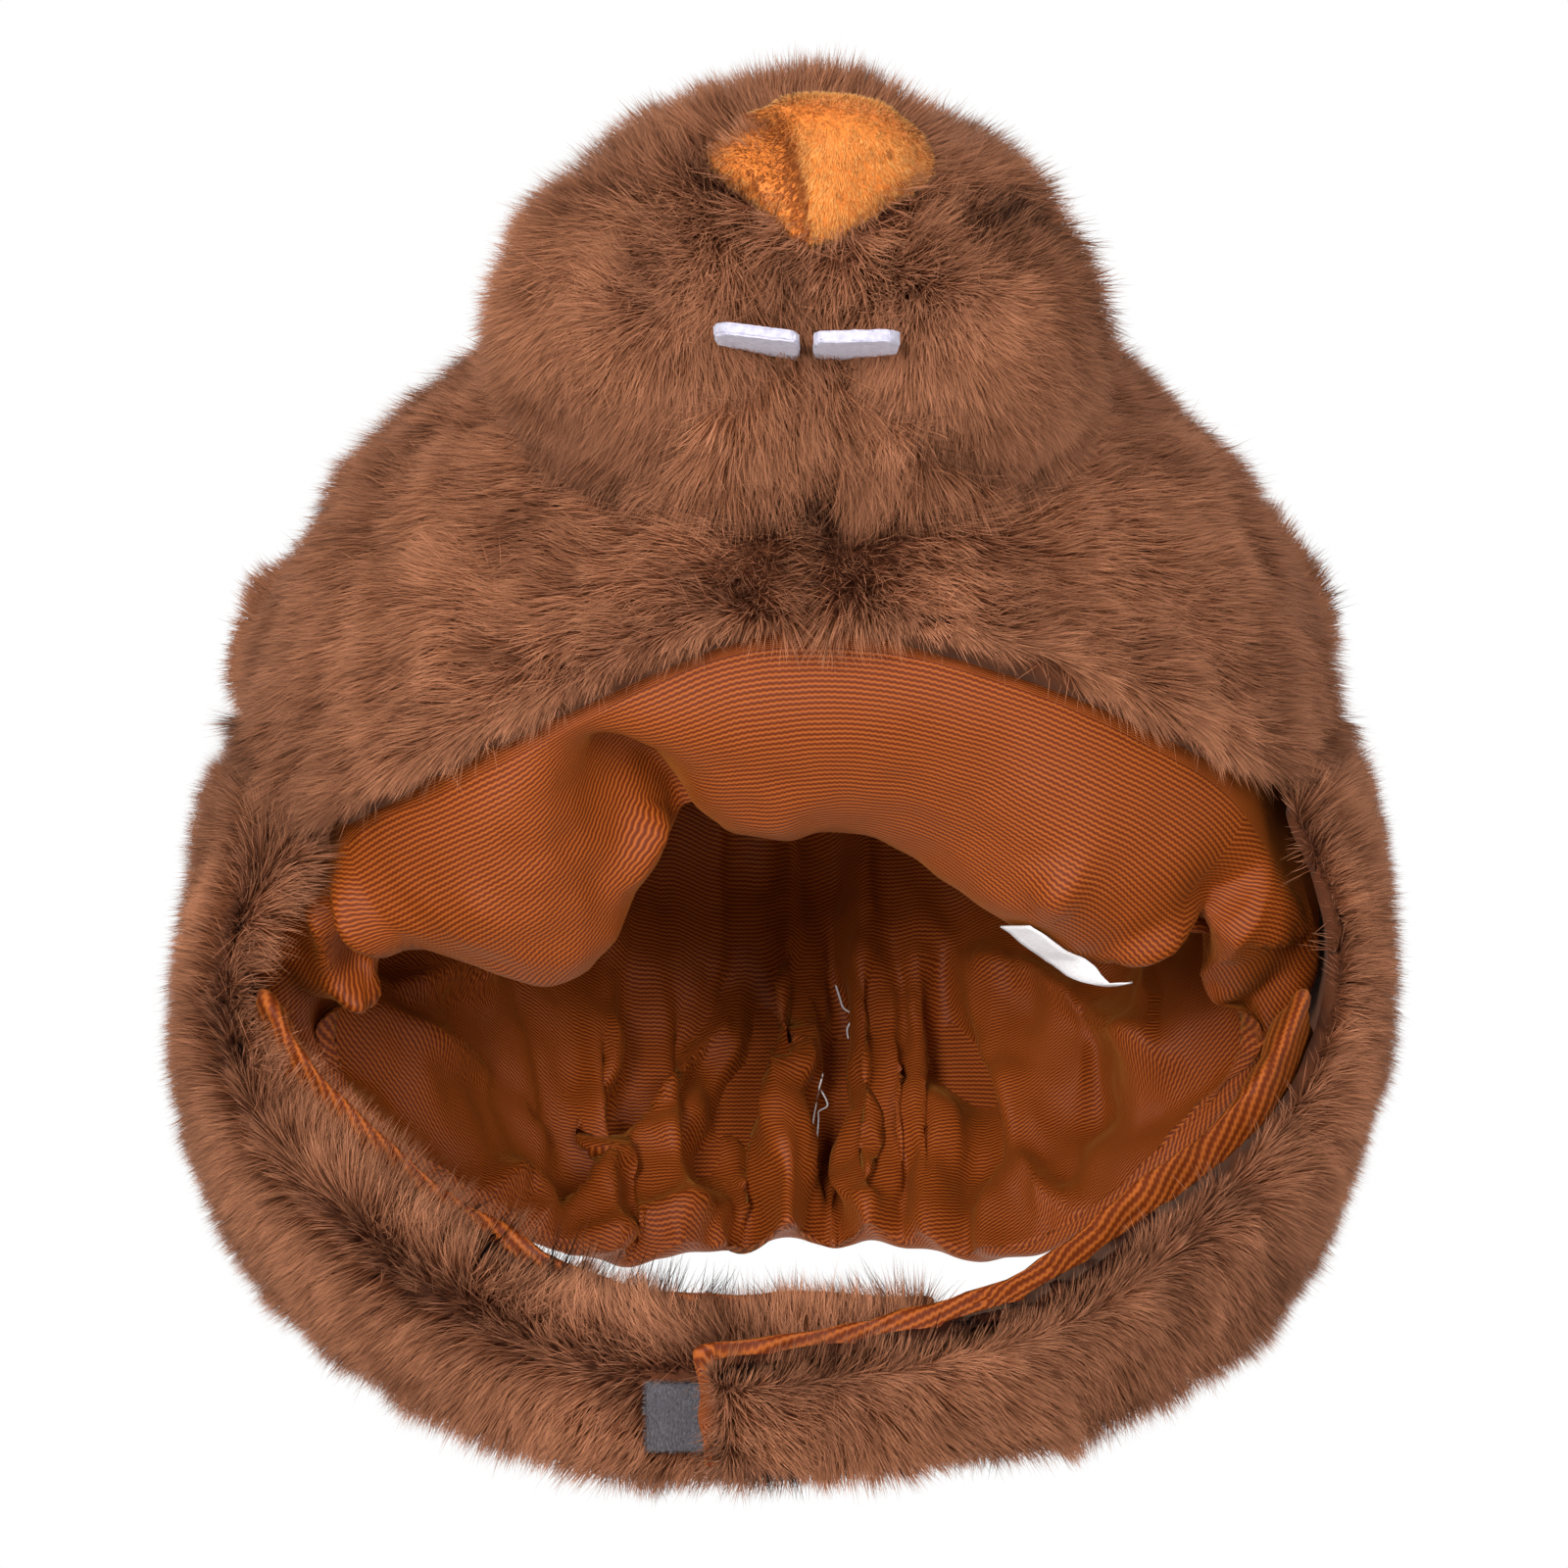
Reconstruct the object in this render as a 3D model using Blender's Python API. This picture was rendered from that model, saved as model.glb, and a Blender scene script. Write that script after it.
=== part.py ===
"""Groundhog plush hat: a padded fur hood with a lined hollow, an animal muzzle and closed chin flaps.

Metres, +Z up. The face opening looks along -Y. The origin is the middle of the head hollow at brow
height, where the hood's widest ring sits on the head. Angles run from the front (-Y), positive
towards +X, so the back seam is at 180 degrees.
"""

import math

import bmesh
import bpy
import numpy as np

# Hood outline, measured on the outside of the fur
HALF_WIDTH_LEFT = 0.130
HALF_WIDTH_RIGHT = 0.124
FRONT_DEPTH = 0.118
BACK_DEPTH = 0.114
CROWN_HEIGHT = 0.120
WIDEST_Z = 0.008
BODY_DROP = 0.086
PLAN_POWER = 2.15
DOME_POWER = 1.86
PLUSH = 0.013
GAP = 0.0004
LINING_GAP = 0.0011
SEAM_GROOVE_DEPTH = 0.0055
SEAM_GROOVE_WIDTH = 0.0070
HEM_ROLL = 0.005
HEM_ROLL_CLEARANCE = 0.0012

# Flaps
FLAP_FUR = 0.0128
FLAP_BOW = 0.008
LOOP_DROP = 0.190
LOOP_CENTRE = (0.0, -0.45, -0.32)
FLAP_PAD = {-1: 0.0090, 1: 0.0110}
PAD_OVERHANG = {-1: 0.015, 1: 0.022}
PAD_OVERHANG_AT_END = 0.10
PAD_THIN = (0.2, 0.35)
FLAP_TOP_GAP = 0.0010
FLAP_TOP_INSET = 0.0095
FLAP_FRONT_ANGLE = 60.0
FLAP_BACK_ANGLE = 127.5

# Lining
LINING_TOP_WALL = 0.006
LINING_HEM_ROLL = 0.006
PUFF_SAG = 0.030
PUFF_REACH = 0.070
SIDE_BULGE = 0.010
GATHER_RISE = 0.015
CRUMPLE_RISE = 0.008
BULGE_CLEARANCE = 0.008
BULGE_RISE = 0.032

# Muzzle
SNOUT_CENTRE = (0.002, -0.100, 0.052)
SNOUT_RADII = (0.060, 0.068, 0.056)
SNOUT_NARROWING = 0.08
SNOUT_SEAM_DEPTH = 0.009
SNOUT_SEAM_WIDTH = 0.009
CHEEK_CENTRE = (0.0280, -0.129, 0.042)
CHEEK_RADII = (0.038, 0.038, 0.032)
CHEEK_POWER = 2.3
CHEEK_DROOP = 0.08
NOSE_CENTRE = (0.0025, -0.1660, 0.0538)
NOSE_THICKNESS = 0.0150
NOSE_WIDTH = 0.053
NOSE_HEIGHT = 0.040
TOOTH_WIDTH = 0.0165
TOOTH_LENGTH = 0.028
TOOTH_FELT = 0.0024
TOOTH_ROOT = (0.0014, -0.1440, 0.0215)
TOOTH_PITCH = 24.5
TOOTH_TILT = {-1: 0.15, 1: 0.03}

# Ears
EAR_WIDTH = 0.050
EAR_HEIGHT = 0.034
EAR_THICKNESS = 0.013

# Hook-and-loop closure and label
PATCH_LENGTH = 0.026
PATCH_WIDTH = 0.014
PATCH_TAPE = 0.0014
PATCH_SEAT = 0.0010
LOOP_PATCH_PLACE = 0.80
HOOK_PATCH_PLACE = 0.87
PAD_AT_HOOK = 0.0058
LABEL_FROM_ANGLE = 41.0
LABEL_TO_ANGLE = 61.0
LABEL_WIDTH = 0.0100
LABEL_PLACE = 0.30
LABEL_CLOTH = 0.0006
LABEL_OFFSET = 0.0008
LABEL_CURL = 0.0030

MM = 0.001

# Fur hem of the hood: height in shares of BODY_DROP below the widest ring
CROWN_HEM = [
    {"angle": -180, "drop": 0.88},
    {"angle": -150, "drop": 0.88},
    {"angle": -138, "drop": 0.70},
    {"angle": -122, "drop": 0.12},
    {"angle": -100, "drop": 0.05},
    {"angle": -82, "drop": 0.09},
    {"angle": -70, "drop": 0.38},
    {"angle": -60, "drop": 0.62},
    {"angle": -45, "drop": 0.64},
    {"angle": -29, "drop": 0.57},
    {"angle": -14, "drop": 0.45},
    {"angle": 0, "drop": 0.36},
    {"angle": 14, "drop": 0.42},
    {"angle": 27, "drop": 0.47},
    {"angle": 42, "drop": 0.51},
    {"angle": 57, "drop": 0.50},
    {"angle": 70, "drop": 0.32},
    {"angle": 82, "drop": 0.06},
    {"angle": 100, "drop": 0.03},
    {"angle": 122, "drop": 0.12},
    {"angle": 138, "drop": 0.68},
    {"angle": 150, "drop": 0.86},
    {"angle": 180, "drop": 0.88},
]

# Share of the plan radius that the body draws in by at the bottom of BODY_DROP
BODY_TAPER = [
    {"angle": 0, "taper": 0.02},
    {"angle": 60, "taper": 0.03},
    {"angle": 95, "taper": 0.06},
    {"angle": 130, "taper": 0.14},
    {"angle": 160, "taper": 0.13},
    {"angle": 180, "taper": 0.12},
]

# Padded lining, a row for each direction round the head. hem: height of its lower edge, as a share of
# BODY_DROP below the widest ring. sag: how far the puff hangs below that edge, as a share of
# PUFF_SAG. reach: how far it stands in from the outside of the fur low down, as a share of
# PUFF_REACH, and upper: the same at half height. bulge: how far its outer side swells out below
# the fur, as a share of SIDE_BULGE.
LINING = [
    {"angle": -180, "hem": 0.985, "sag": 0.13, "reach": 0.29, "upper": 0.30, "bulge": 0.0},
    {"angle": -160, "hem": 1.035, "sag": 0.17, "reach": 0.30, "upper": 0.30, "bulge": 0.0},
    {"angle": -145, "hem": 1.110, "sag": 0.17, "reach": 0.31, "upper": 0.30, "bulge": 0.0},
    {"angle": -125, "hem": 1.005, "sag": 0.20, "reach": 0.34, "upper": 0.30, "bulge": 0.3},
    {"angle": -105, "hem": 0.880, "sag": 0.20, "reach": 0.31, "upper": 0.33, "bulge": 0.8},
    {"angle": -90, "hem": 0.800, "sag": 0.20, "reach": 0.31, "upper": 0.39, "bulge": 1.0},
    {"angle": -80, "hem": 0.760, "sag": 0.25, "reach": 0.44, "upper": 0.49, "bulge": 1.0},
    {"angle": -72, "hem": 0.700, "sag": 0.22, "reach": 0.47, "upper": 0.53, "bulge": 0.7},
    {"angle": -65, "hem": 0.665, "sag": 0.42, "reach": 0.66, "upper": 0.58, "bulge": 0.3},
    {"angle": -58, "hem": 0.640, "sag": 0.74, "reach": 0.93, "upper": 0.64, "bulge": 0.0},
    {"angle": -45, "hem": 0.650, "sag": 0.67, "reach": 0.99, "upper": 0.69, "bulge": 0.0},
    {"angle": -34, "hem": 0.610, "sag": 0.20, "reach": 0.96, "upper": 0.71, "bulge": 0.0},
    {"angle": -27, "hem": 0.560, "sag": -0.43, "reach": 0.94, "upper": 0.69, "bulge": 0.0},
    {"angle": -19, "hem": 0.490, "sag": 0.20, "reach": 1.00, "upper": 0.74, "bulge": 0.0},
    {"angle": -8, "hem": 0.410, "sag": 0.63, "reach": 1.00, "upper": 0.74, "bulge": 0.0},
    {"angle": 8, "hem": 0.400, "sag": 0.63, "reach": 0.97, "upper": 0.74, "bulge": 0.0},
    {"angle": 22, "hem": 0.450, "sag": 0.57, "reach": 0.97, "upper": 0.71, "bulge": 0.0},
    {"angle": 42, "hem": 0.520, "sag": 0.87, "reach": 0.96, "upper": 0.66, "bulge": 0.0},
    {"angle": 57, "hem": 0.540, "sag": 0.95, "reach": 0.90, "upper": 0.60, "bulge": 0.0},
    {"angle": 65, "hem": 0.575, "sag": 0.66, "reach": 0.68, "upper": 0.54, "bulge": 0.2},
    {"angle": 73, "hem": 0.640, "sag": 0.32, "reach": 0.50, "upper": 0.50, "bulge": 0.6},
    {"angle": 82, "hem": 0.750, "sag": 0.26, "reach": 0.44, "upper": 0.45, "bulge": 0.8},
    {"angle": 92, "hem": 0.790, "sag": 0.20, "reach": 0.31, "upper": 0.36, "bulge": 0.5},
    {"angle": 106, "hem": 0.835, "sag": 0.20, "reach": 0.31, "upper": 0.31, "bulge": 0.3},
    {"angle": 125, "hem": 1.010, "sag": 0.20, "reach": 0.34, "upper": 0.30, "bulge": 0.1},
    {"angle": 145, "hem": 1.100, "sag": 0.17, "reach": 0.31, "upper": 0.30, "bulge": 0.0},
    {"angle": 160, "hem": 1.010, "sag": 0.17, "reach": 0.30, "upper": 0.30, "bulge": 0.0},
    {"angle": 180, "hem": 0.985, "sag": 0.13, "reach": 0.29, "upper": 0.30, "bulge": 0.0},
]

# Gathers of the lining at the nape. Each runs from foot (angle at the hem) to head (angle high up),
# width in degrees, rise inwards at its foot as a share of GATHER_RISE, and fade is the share of the
# height where it ends.
GATHERS = [
    {"foot": 144, "head": 150, "width": 4.6, "rise": 0.53, "fade": 0.70},
    {"foot": 156, "head": 165, "width": 4.0, "rise": 0.73, "fade": 0.90},
    {"foot": 167, "head": 172, "width": 3.2, "rise": 0.87, "fade": 1.00},
    {"foot": 175, "head": 177, "width": 2.2, "rise": -0.27, "fade": 0.80},
    {"foot": 183, "head": 181, "width": 2.8, "rise": 1.00, "fade": 1.20},
    {"foot": 190, "head": 187, "width": 2.6, "rise": -0.27, "fade": 0.90},
    {"foot": 203, "head": 196, "width": 6.5, "rise": 0.60, "fade": 1.00},
    {"foot": 217, "head": 207, "width": 3.2, "rise": 0.67, "fade": 0.90},
]

# Crumples of the side lining between temple and nape: angle and height of the middle, in degrees and
# as a share of BODY_DROP below the widest ring, the half widths of both, and the rise inwards as a
# share of CRUMPLE_RISE.
CRUMPLES = [
    {"angle": -83, "low": 0.62, "wide": 7, "tall": 0.26, "rise": 1.00},
    {"angle": -97, "low": 0.50, "wide": 5, "tall": 0.36, "rise": -0.50},
    {"angle": -112, "low": 0.62, "wide": 8, "tall": 0.34, "rise": 0.75},
    {"angle": -128, "low": 0.66, "wide": 5, "tall": 0.30, "rise": -0.50},
    {"angle": 84, "low": 0.60, "wide": 6, "tall": 0.28, "rise": 0.88},
    {"angle": 99, "low": 0.55, "wide": 5, "tall": 0.32, "rise": -0.50},
    {"angle": 116, "low": 0.62, "wide": 9, "tall": 0.34, "rise": 1.00},
    {"angle": 132, "low": 0.70, "wide": 4, "tall": 0.24, "rise": -0.50},
]

# Flaps below their top edge, a row for each section of the backing, from the temple to the strap's
# end. front and back are its two edges, in shares of the half width on that side, of FRONT_DEPTH and
# of LOOP_DROP. bow is how far the middle stands out between them, in shares of FLAP_BOW.
FLAP_LEFT = [
    {"front": (-0.915, -0.441, -0.358), "back": (-0.885, 0.390, -0.263), "bow": 1.00},
    {"front": (-0.869, -0.424, -0.468), "back": (-0.854, 0.153, -0.484), "bow": 1.00},
    {"front": (-0.723, -0.458, -0.589), "back": (-0.754, -0.068, -0.679), "bow": 0.88},
    {"front": (-0.523, -0.508, -0.705), "back": (-0.569, -0.220, -0.826), "bow": 0.50},
    {"front": (-0.269, -0.542, -0.800), "back": (-0.308, -0.331, -0.937), "bow": 0.38},
    {"front": (0.000, -0.534, -0.795), "back": (0.000, -0.356, -0.953), "bow": 0.25},
    {"front": (0.200, -0.492, -0.789), "back": (0.185, -0.347, -0.916), "bow": 0.12},
]
FLAP_RIGHT = [
    {"front": (0.903, -0.441, -0.326), "back": (0.871, 0.390, -0.242), "bow": 0.75},
    {"front": (0.831, -0.432, -0.495), "back": (0.798, 0.153, -0.474), "bow": 0.75},
    {"front": (0.710, -0.475, -0.600), "back": (0.726, -0.076, -0.668), "bow": 0.62},
    {"front": (0.524, -0.559, -0.711), "back": (0.565, -0.271, -0.816), "bow": 0.50},
    {"front": (0.315, -0.661, -0.826), "back": (0.347, -0.458, -0.926), "bow": 0.38},
    {"front": (0.040, -0.691, -0.876), "back": (0.048, -0.564, -0.995), "bow": 0.12},
    {"front": (-0.177, -0.708, -0.900), "back": (-0.161, -0.597, -1.005), "bow": 0.00},
]

# Stuffed cheeks of the muzzle: place and size as shares of CHEEK_CENTRE and CHEEK_RADII
CHEEKS = [
    {"name": "left", "side": -1, "place": (1.00, 1.00, 1.00), "size": (1.00, 1.00, 1.00)},
    {"name": "right", "side": 1, "place": (0.93, 0.985, 0.89), "size": (0.90, 0.97, 0.88)},
]

# Outline of the nose round its middle, from the right side upwards: radius as a share of half the
# width and half the height
NOSE_OUTLINE = [
    {"angle": 0, "reach": 0.97},
    {"angle": 25, "reach": 1.04},
    {"angle": 55, "reach": 0.98},
    {"angle": 90, "reach": 0.93},
    {"angle": 125, "reach": 0.98},
    {"angle": 150, "reach": 1.06},
    {"angle": 180, "reach": 0.96},
    {"angle": 215, "reach": 0.74},
    {"angle": 245, "reach": 0.86},
    {"angle": 264, "reach": 1.02},
    {"angle": 285, "reach": 0.92},
    {"angle": 320, "reach": 0.80},
    {"angle": 360, "reach": 0.97},
]


def along(table, column, at, key="angle"):
    """The column's value at a key between the table's rows, on one smooth curve."""
    keys = np.array([row[key] for row in table], float)
    values = np.array([row[column] for row in table], float)
    slopes = np.gradient(values, keys)
    at = np.clip(at, keys[0], keys[-1])
    i = np.clip(np.searchsorted(keys, at, side="right") - 1, 0, len(keys) - 2)
    span = keys[i + 1] - keys[i]
    t = (at - keys[i]) / span
    rise = values[i + 1] - values[i]
    return (
        values[i]
        + rise * t * t * (3 - 2 * t)
        + span * t * (1 - t) * (slopes[i] * (1 - t) - slopes[i + 1] * t)
    )


def plan_radius(angle, inset=0.0):
    """Distance from the axis to the hood's outside at its widest ring, less an inset."""
    turn = math.radians(angle)
    right, front = math.sin(turn), math.cos(turn)
    half_x = (HALF_WIDTH_RIGHT if right > 0 else HALF_WIDTH_LEFT) - inset
    half_y = (FRONT_DEPTH if front > 0 else BACK_DEPTH) - inset
    share = abs(right / half_x) ** PLAN_POWER + abs(front / half_y) ** PLAN_POWER
    return share ** (-1 / PLAN_POWER)


def shell_radius(angle, z, inset=0.0):
    """Distance from the axis to the hood's outside at a height, less an inset."""
    radius = plan_radius(angle, inset)
    if z > WIDEST_Z:
        up = min((z - WIDEST_Z) / (CROWN_HEIGHT - inset), 1.0)
        return radius * (1 - up**DOME_POWER) ** (1 / DOME_POWER)
    down = (WIDEST_Z - z) / BODY_DROP
    return radius * (1 - along(BODY_TAPER, "taper", abs(angle)) * down**1.5)


def at_angle(angle, radius, z):
    turn = math.radians(angle)
    return (radius * math.sin(turn), -radius * math.cos(turn), z)


def hem_z(angle):
    return WIDEST_Z - BODY_DROP * along(CROWN_HEM, "drop", angle)


def dome_height(share, inset=0.0):
    """Height on the dome at a share of the way from its widest ring to its top."""
    return WIDEST_Z + (CROWN_HEIGHT - inset) * math.sin(share * math.pi / 2) ** (2 / DOME_POWER)


def seam_groove(angle):
    """How far the fur dips where the two halves are sewn together, front and back."""
    arc = math.radians(min(abs(angle), 180 - abs(angle))) * FRONT_DEPTH
    return SEAM_GROOVE_DEPTH * math.exp(-((arc / SEAM_GROOVE_WIDTH) ** 2))


def signed(angle):
    """The same direction as an angle from -180 to 180."""
    return (angle + 180) % 360 - 180


def material(name, colour, roughness):
    made = bpy.data.materials.get(name)
    if made is None:
        made = bpy.data.materials.new(name)
        made.use_nodes = True
        shader = made.node_tree.nodes["Principled BSDF"]
        shader.inputs["Base Color"].default_value = (*colour, 1)
        shader.inputs["Roughness"].default_value = roughness
        shader.inputs["Metallic"].default_value = 0.0
    return made


def brown_fur():
    return material("brown_fur", (0.26, 0.14, 0.078), 0.85)


def rust_tricot():
    return material("rust_tricot", (0.36, 0.12, 0.025), 0.55)


def orange_plush():
    return material("orange_plush", (0.75, 0.24, 0.045), 0.80)


def white_felt():
    return material("white_felt", (0.74, 0.71, 0.80), 0.90)


def grey_tape():
    return material("grey_tape", (0.19, 0.17, 0.18), 0.75)


def white_satin():
    return material("white_satin", (0.80, 0.77, 0.77), 0.50)


class Surface:
    """Points and faces that become one closed mesh."""

    def __init__(self):
        self.points = []
        self.faces = []

    def grid(self, rows):
        """Adds a sheet of points and its faces, and returns the numbers of its points."""
        rows = np.asarray(rows, float)
        start = len(self.points)
        self.points += [tuple(p) for p in rows.reshape(-1, 3)]
        numbers = np.arange(start, len(self.points)).reshape(rows.shape[:2])
        self.between(numbers[:-1], numbers[1:])
        return numbers

    def between(self, low, high):
        """Faces between rows of points low and the rows high above them."""
        for a, b in zip(low, high):
            for i in range(len(a) - 1):
                self.faces.append((a[i], a[i + 1], b[i + 1], b[i]))

    def strip(self, first, second):
        """Faces between two lines of points."""
        self.between([list(first)], [list(second)])

    def cap(self, line):
        self.faces.append(tuple(int(i) for i in line))

    def build(self, name, finish):
        mesh = bpy.data.meshes.new(name)
        obj = bpy.data.objects.new(name, mesh)
        bpy.context.scene.collection.objects.link(obj)
        work = bmesh.new()
        points = [work.verts.new(p) for p in self.points]
        for face in self.faces:
            corners = list(dict.fromkeys(int(i) for i in face))
            if len(corners) > 2:
                work.faces.new([points[i] for i in corners])
        bmesh.ops.remove_doubles(work, verts=work.verts, dist=0.00002)
        bmesh.ops.dissolve_degenerate(work, edges=work.edges, dist=0.00001)
        bmesh.ops.triangulate(work, faces=work.faces)
        bmesh.ops.recalc_face_normals(work, faces=work.faces)
        work.to_mesh(mesh)
        work.free()
        mesh.materials.append(finish)
        mesh.shade_smooth()
        mesh.set_sharp_from_angle(angle=math.radians(60))
        return obj


def cut(obj, *cutters):
    """Takes the cutters out of obj."""
    for cutter in cutters:
        modifier = obj.modifiers.new(f"less_{cutter.name}", "BOOLEAN")
        modifier.operation = "DIFFERENCE"
        modifier.object = cutter
    return obj


def helper(obj):
    obj.hide_render = True
    obj.display_type = "WIRE"
    return obj


# Crown: two sewn halves of long-pile plush

CROWN_COLUMNS = 24
BODY_ROWS = 4
DOME_ROWS = 10


def crown_rows(side, inset, lift):
    """Rows of points from the hem to the top on one half, side -1 or +1."""
    angles = np.linspace(0, 180, CROWN_COLUMNS + 1)
    rows = []
    for k in range(BODY_ROWS):
        rows.append([(a, k / BODY_ROWS, None) for a in angles])
    for k in range(DOME_ROWS + 1):
        rows.append([(a, None, k / DOME_ROWS) for a in angles])
    points = []
    for row in rows:
        line = []
        for angle, body, dome in row:
            low = min(hem_z(side * angle) + lift, WIDEST_Z - HEM_ROLL_CLEARANCE)
            z = low + (WIDEST_Z - low) * body if dome is None else dome_height(dome, inset)
            radius = shell_radius(side * angle, z, inset)
            if inset == 0.0:
                radius = max(radius - seam_groove(angle), 0.0)
            x, y, z = at_angle(side * angle, radius, z)
            line.append((side * max(abs(x), GAP / 2), y, z))
        points.append(line)
    return points


def crown_half(name, side):
    surface = Surface()
    outer = surface.grid(crown_rows(side, 0.0, HEM_ROLL))
    inner = surface.grid(crown_rows(side, PLUSH, HEM_ROLL))
    edge = crown_rows(side, PLUSH / 2, 0.0)[:1]
    rim = surface.grid(edge)[0]
    surface.strip(outer[0], rim)
    surface.strip(rim, inner[0])
    for end in (0, -1):
        surface.strip(outer[:, end], inner[:, end])
        surface.cap([outer[0, end], rim[end], inner[0, end]])
    return surface.build(name, brown_fur())


def crown_cutter():
    """The hood's outside grown by the gap, closed below, to trim what sits on it."""
    surface = Surface()
    columns = np.linspace(-180, 180, 2 * CROWN_COLUMNS + 1)
    rows = [[at_angle(a, shell_radius(a, WIDEST_Z, -GAP), -BODY_DROP) for a in columns]]
    for k in range(DOME_ROWS * 2 + 1):
        z = dome_height(k / (DOME_ROWS * 2), -GAP)
        rows.append([at_angle(a, shell_radius(a, z, -GAP), z) for a in columns])
    outer = surface.grid(rows)
    surface.cap(outer[0][:-1])
    return helper(surface.build("crown_cutter", brown_fur()))


# Lining: a padded bag inside the hood, puffed at the brow and gathered at the nape

LINING_OUTER_ROWS = 8
LINING_INNER_DOME_ROWS = 7


def lining_angles():
    """Directions round the head, closest together at the nape's gathers and at the brow's fold."""
    stretches = [
        (-180, -142, 14),
        (-142, -60, 11),
        (-60, -14, 10),
        (-14, 60, 8),
        (60, 142, 11),
        (142, 180, 14),
    ]
    angles = []
    for start, end, count in stretches:
        angles += list(np.linspace(start, end, count, endpoint=False))
    return angles + [180.0]


def bump(distance, width):
    return math.exp(-((distance / width) ** 2))


def gather_rise(angle, height):
    """Inward rise of the nape's gathers at a direction and a share of the height up to the dome."""
    rise = 0.0
    for g in GATHERS:
        middle = g["foot"] + (g["head"] - g["foot"]) * height
        fade = max(0.0, 1 - height / g["fade"]) ** 0.7
        rise += GATHER_RISE * g["rise"] * fade * bump(signed(angle - middle), g["width"])
    return rise


def crumple_rise(angle, drop):
    """Inward rise of the side lining's crumples at a direction and a share of BODY_DROP."""
    return CRUMPLE_RISE * sum(
        c["rise"] * bump(signed(angle - c["angle"]), c["wide"]) * bump(drop - c["low"], c["tall"])
        for c in CRUMPLES
    )


LINING_UNITS = {
    "hem": BODY_DROP,
    "sag": PUFF_SAG,
    "reach": PUFF_REACH,
    "upper": PUFF_REACH,
    "bulge": SIDE_BULGE,
}


def lining_outer(angle):
    """Points up the lining's outer side, from the hem to the top."""
    foot = WIDEST_Z - BODY_DROP * along(LINING, "hem", angle)
    inset = PLUSH + LINING_GAP
    bulge = SIDE_BULGE * along(LINING, "bulge", angle)
    line = []
    for k in range(LINING_OUTER_ROWS + 1):
        share = k / LINING_OUTER_ROWS
        low = foot + LINING_HEM_ROLL * 0.5
        z = low + (WIDEST_Z - low) * min(share * 2.5, 1.0)
        if share * 2.5 > 1:
            z = dome_height((share - 0.4) / 0.6, inset)
        swell = bulge * min(max((hem_z(angle) - BULGE_CLEARANCE - z) / BULGE_RISE, 0.0), 1.0)
        line.append(at_angle(angle, shell_radius(angle, z, inset) + swell, z))
    return line


def lining_inner(angle):
    """Points up the lining's inner side: under the puff, over its lowest line, and up to the top."""
    row = {column: unit * along(LINING, column, angle) for column, unit in LINING_UNITS.items()}
    foot = WIDEST_Z - row["hem"]
    start = PLUSH + LINING_GAP - row["bulge"]
    depth = row["reach"] - start
    line = []
    for share, drop in ((0.10, 0.30), (0.30, 0.78), (0.55, 1.0), (0.80, 0.90), (0.95, 0.55)):
        z = foot - row["sag"] * drop
        inset = start + depth * share + gather_rise(angle, 0.0) * share
        line.append(at_angle(angle, shell_radius(angle, z) - inset, z))
    low = foot - row["sag"] * 0.55
    for k in range(1, 6):
        share = k / 5
        z = low + (WIDEST_Z + 0.012 - low) * share
        inset = row["reach"] + (row["upper"] - row["reach"]) * share**1.4
        inset += gather_rise(angle, share * 0.8) + crumple_rise(angle, (WIDEST_Z - z) / BODY_DROP)
        line.append(at_angle(angle, shell_radius(angle, z) - inset, z))
    wall = PLUSH + LINING_TOP_WALL
    for k in range(1, LINING_INNER_DOME_ROWS + 1):
        share = k / LINING_INNER_DOME_ROWS
        inset = row["upper"] + (wall - row["upper"]) * share
        base = math.asin(min((0.012 / (CROWN_HEIGHT - inset)) ** (DOME_POWER / 2), 1.0)) / (math.pi / 2)
        z = dome_height(base + (1 - base) * share, inset)
        radius = shell_radius(angle, z, inset) - gather_rise(angle, 0.8 + share) * (1 - share)
        line.append(at_angle(angle, max(radius, 0.0) if share < 1 else 0.0, z))
    return line


def lining():
    surface = Surface()
    angles = lining_angles()
    outer = surface.grid(np.array([lining_outer(a) for a in angles]).transpose(1, 0, 2))
    inner = surface.grid(np.array([lining_inner(a) for a in angles]).transpose(1, 0, 2))
    surface.strip(outer[0], inner[0])
    return surface.build("lining", rust_tricot())


# Flaps: fur on the outside, a padded tricot strip on the inside, ending in the chin straps

FLAP_COLUMNS = 9
ROWS_PER_SECTION = 2


def flap_top(side):
    """The flap's top edge, just under the hood's hem, on the backing line."""
    line = []
    for angle in np.linspace(FLAP_FRONT_ANGLE, FLAP_BACK_ANGLE, FLAP_COLUMNS + 1):
        z = hem_z(side * angle) - FLAP_TOP_GAP
        radius = shell_radius(side * angle, z, FLAP_TOP_INSET)
        line.append(at_angle(side * angle, radius, z))
    return np.array(line)


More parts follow.
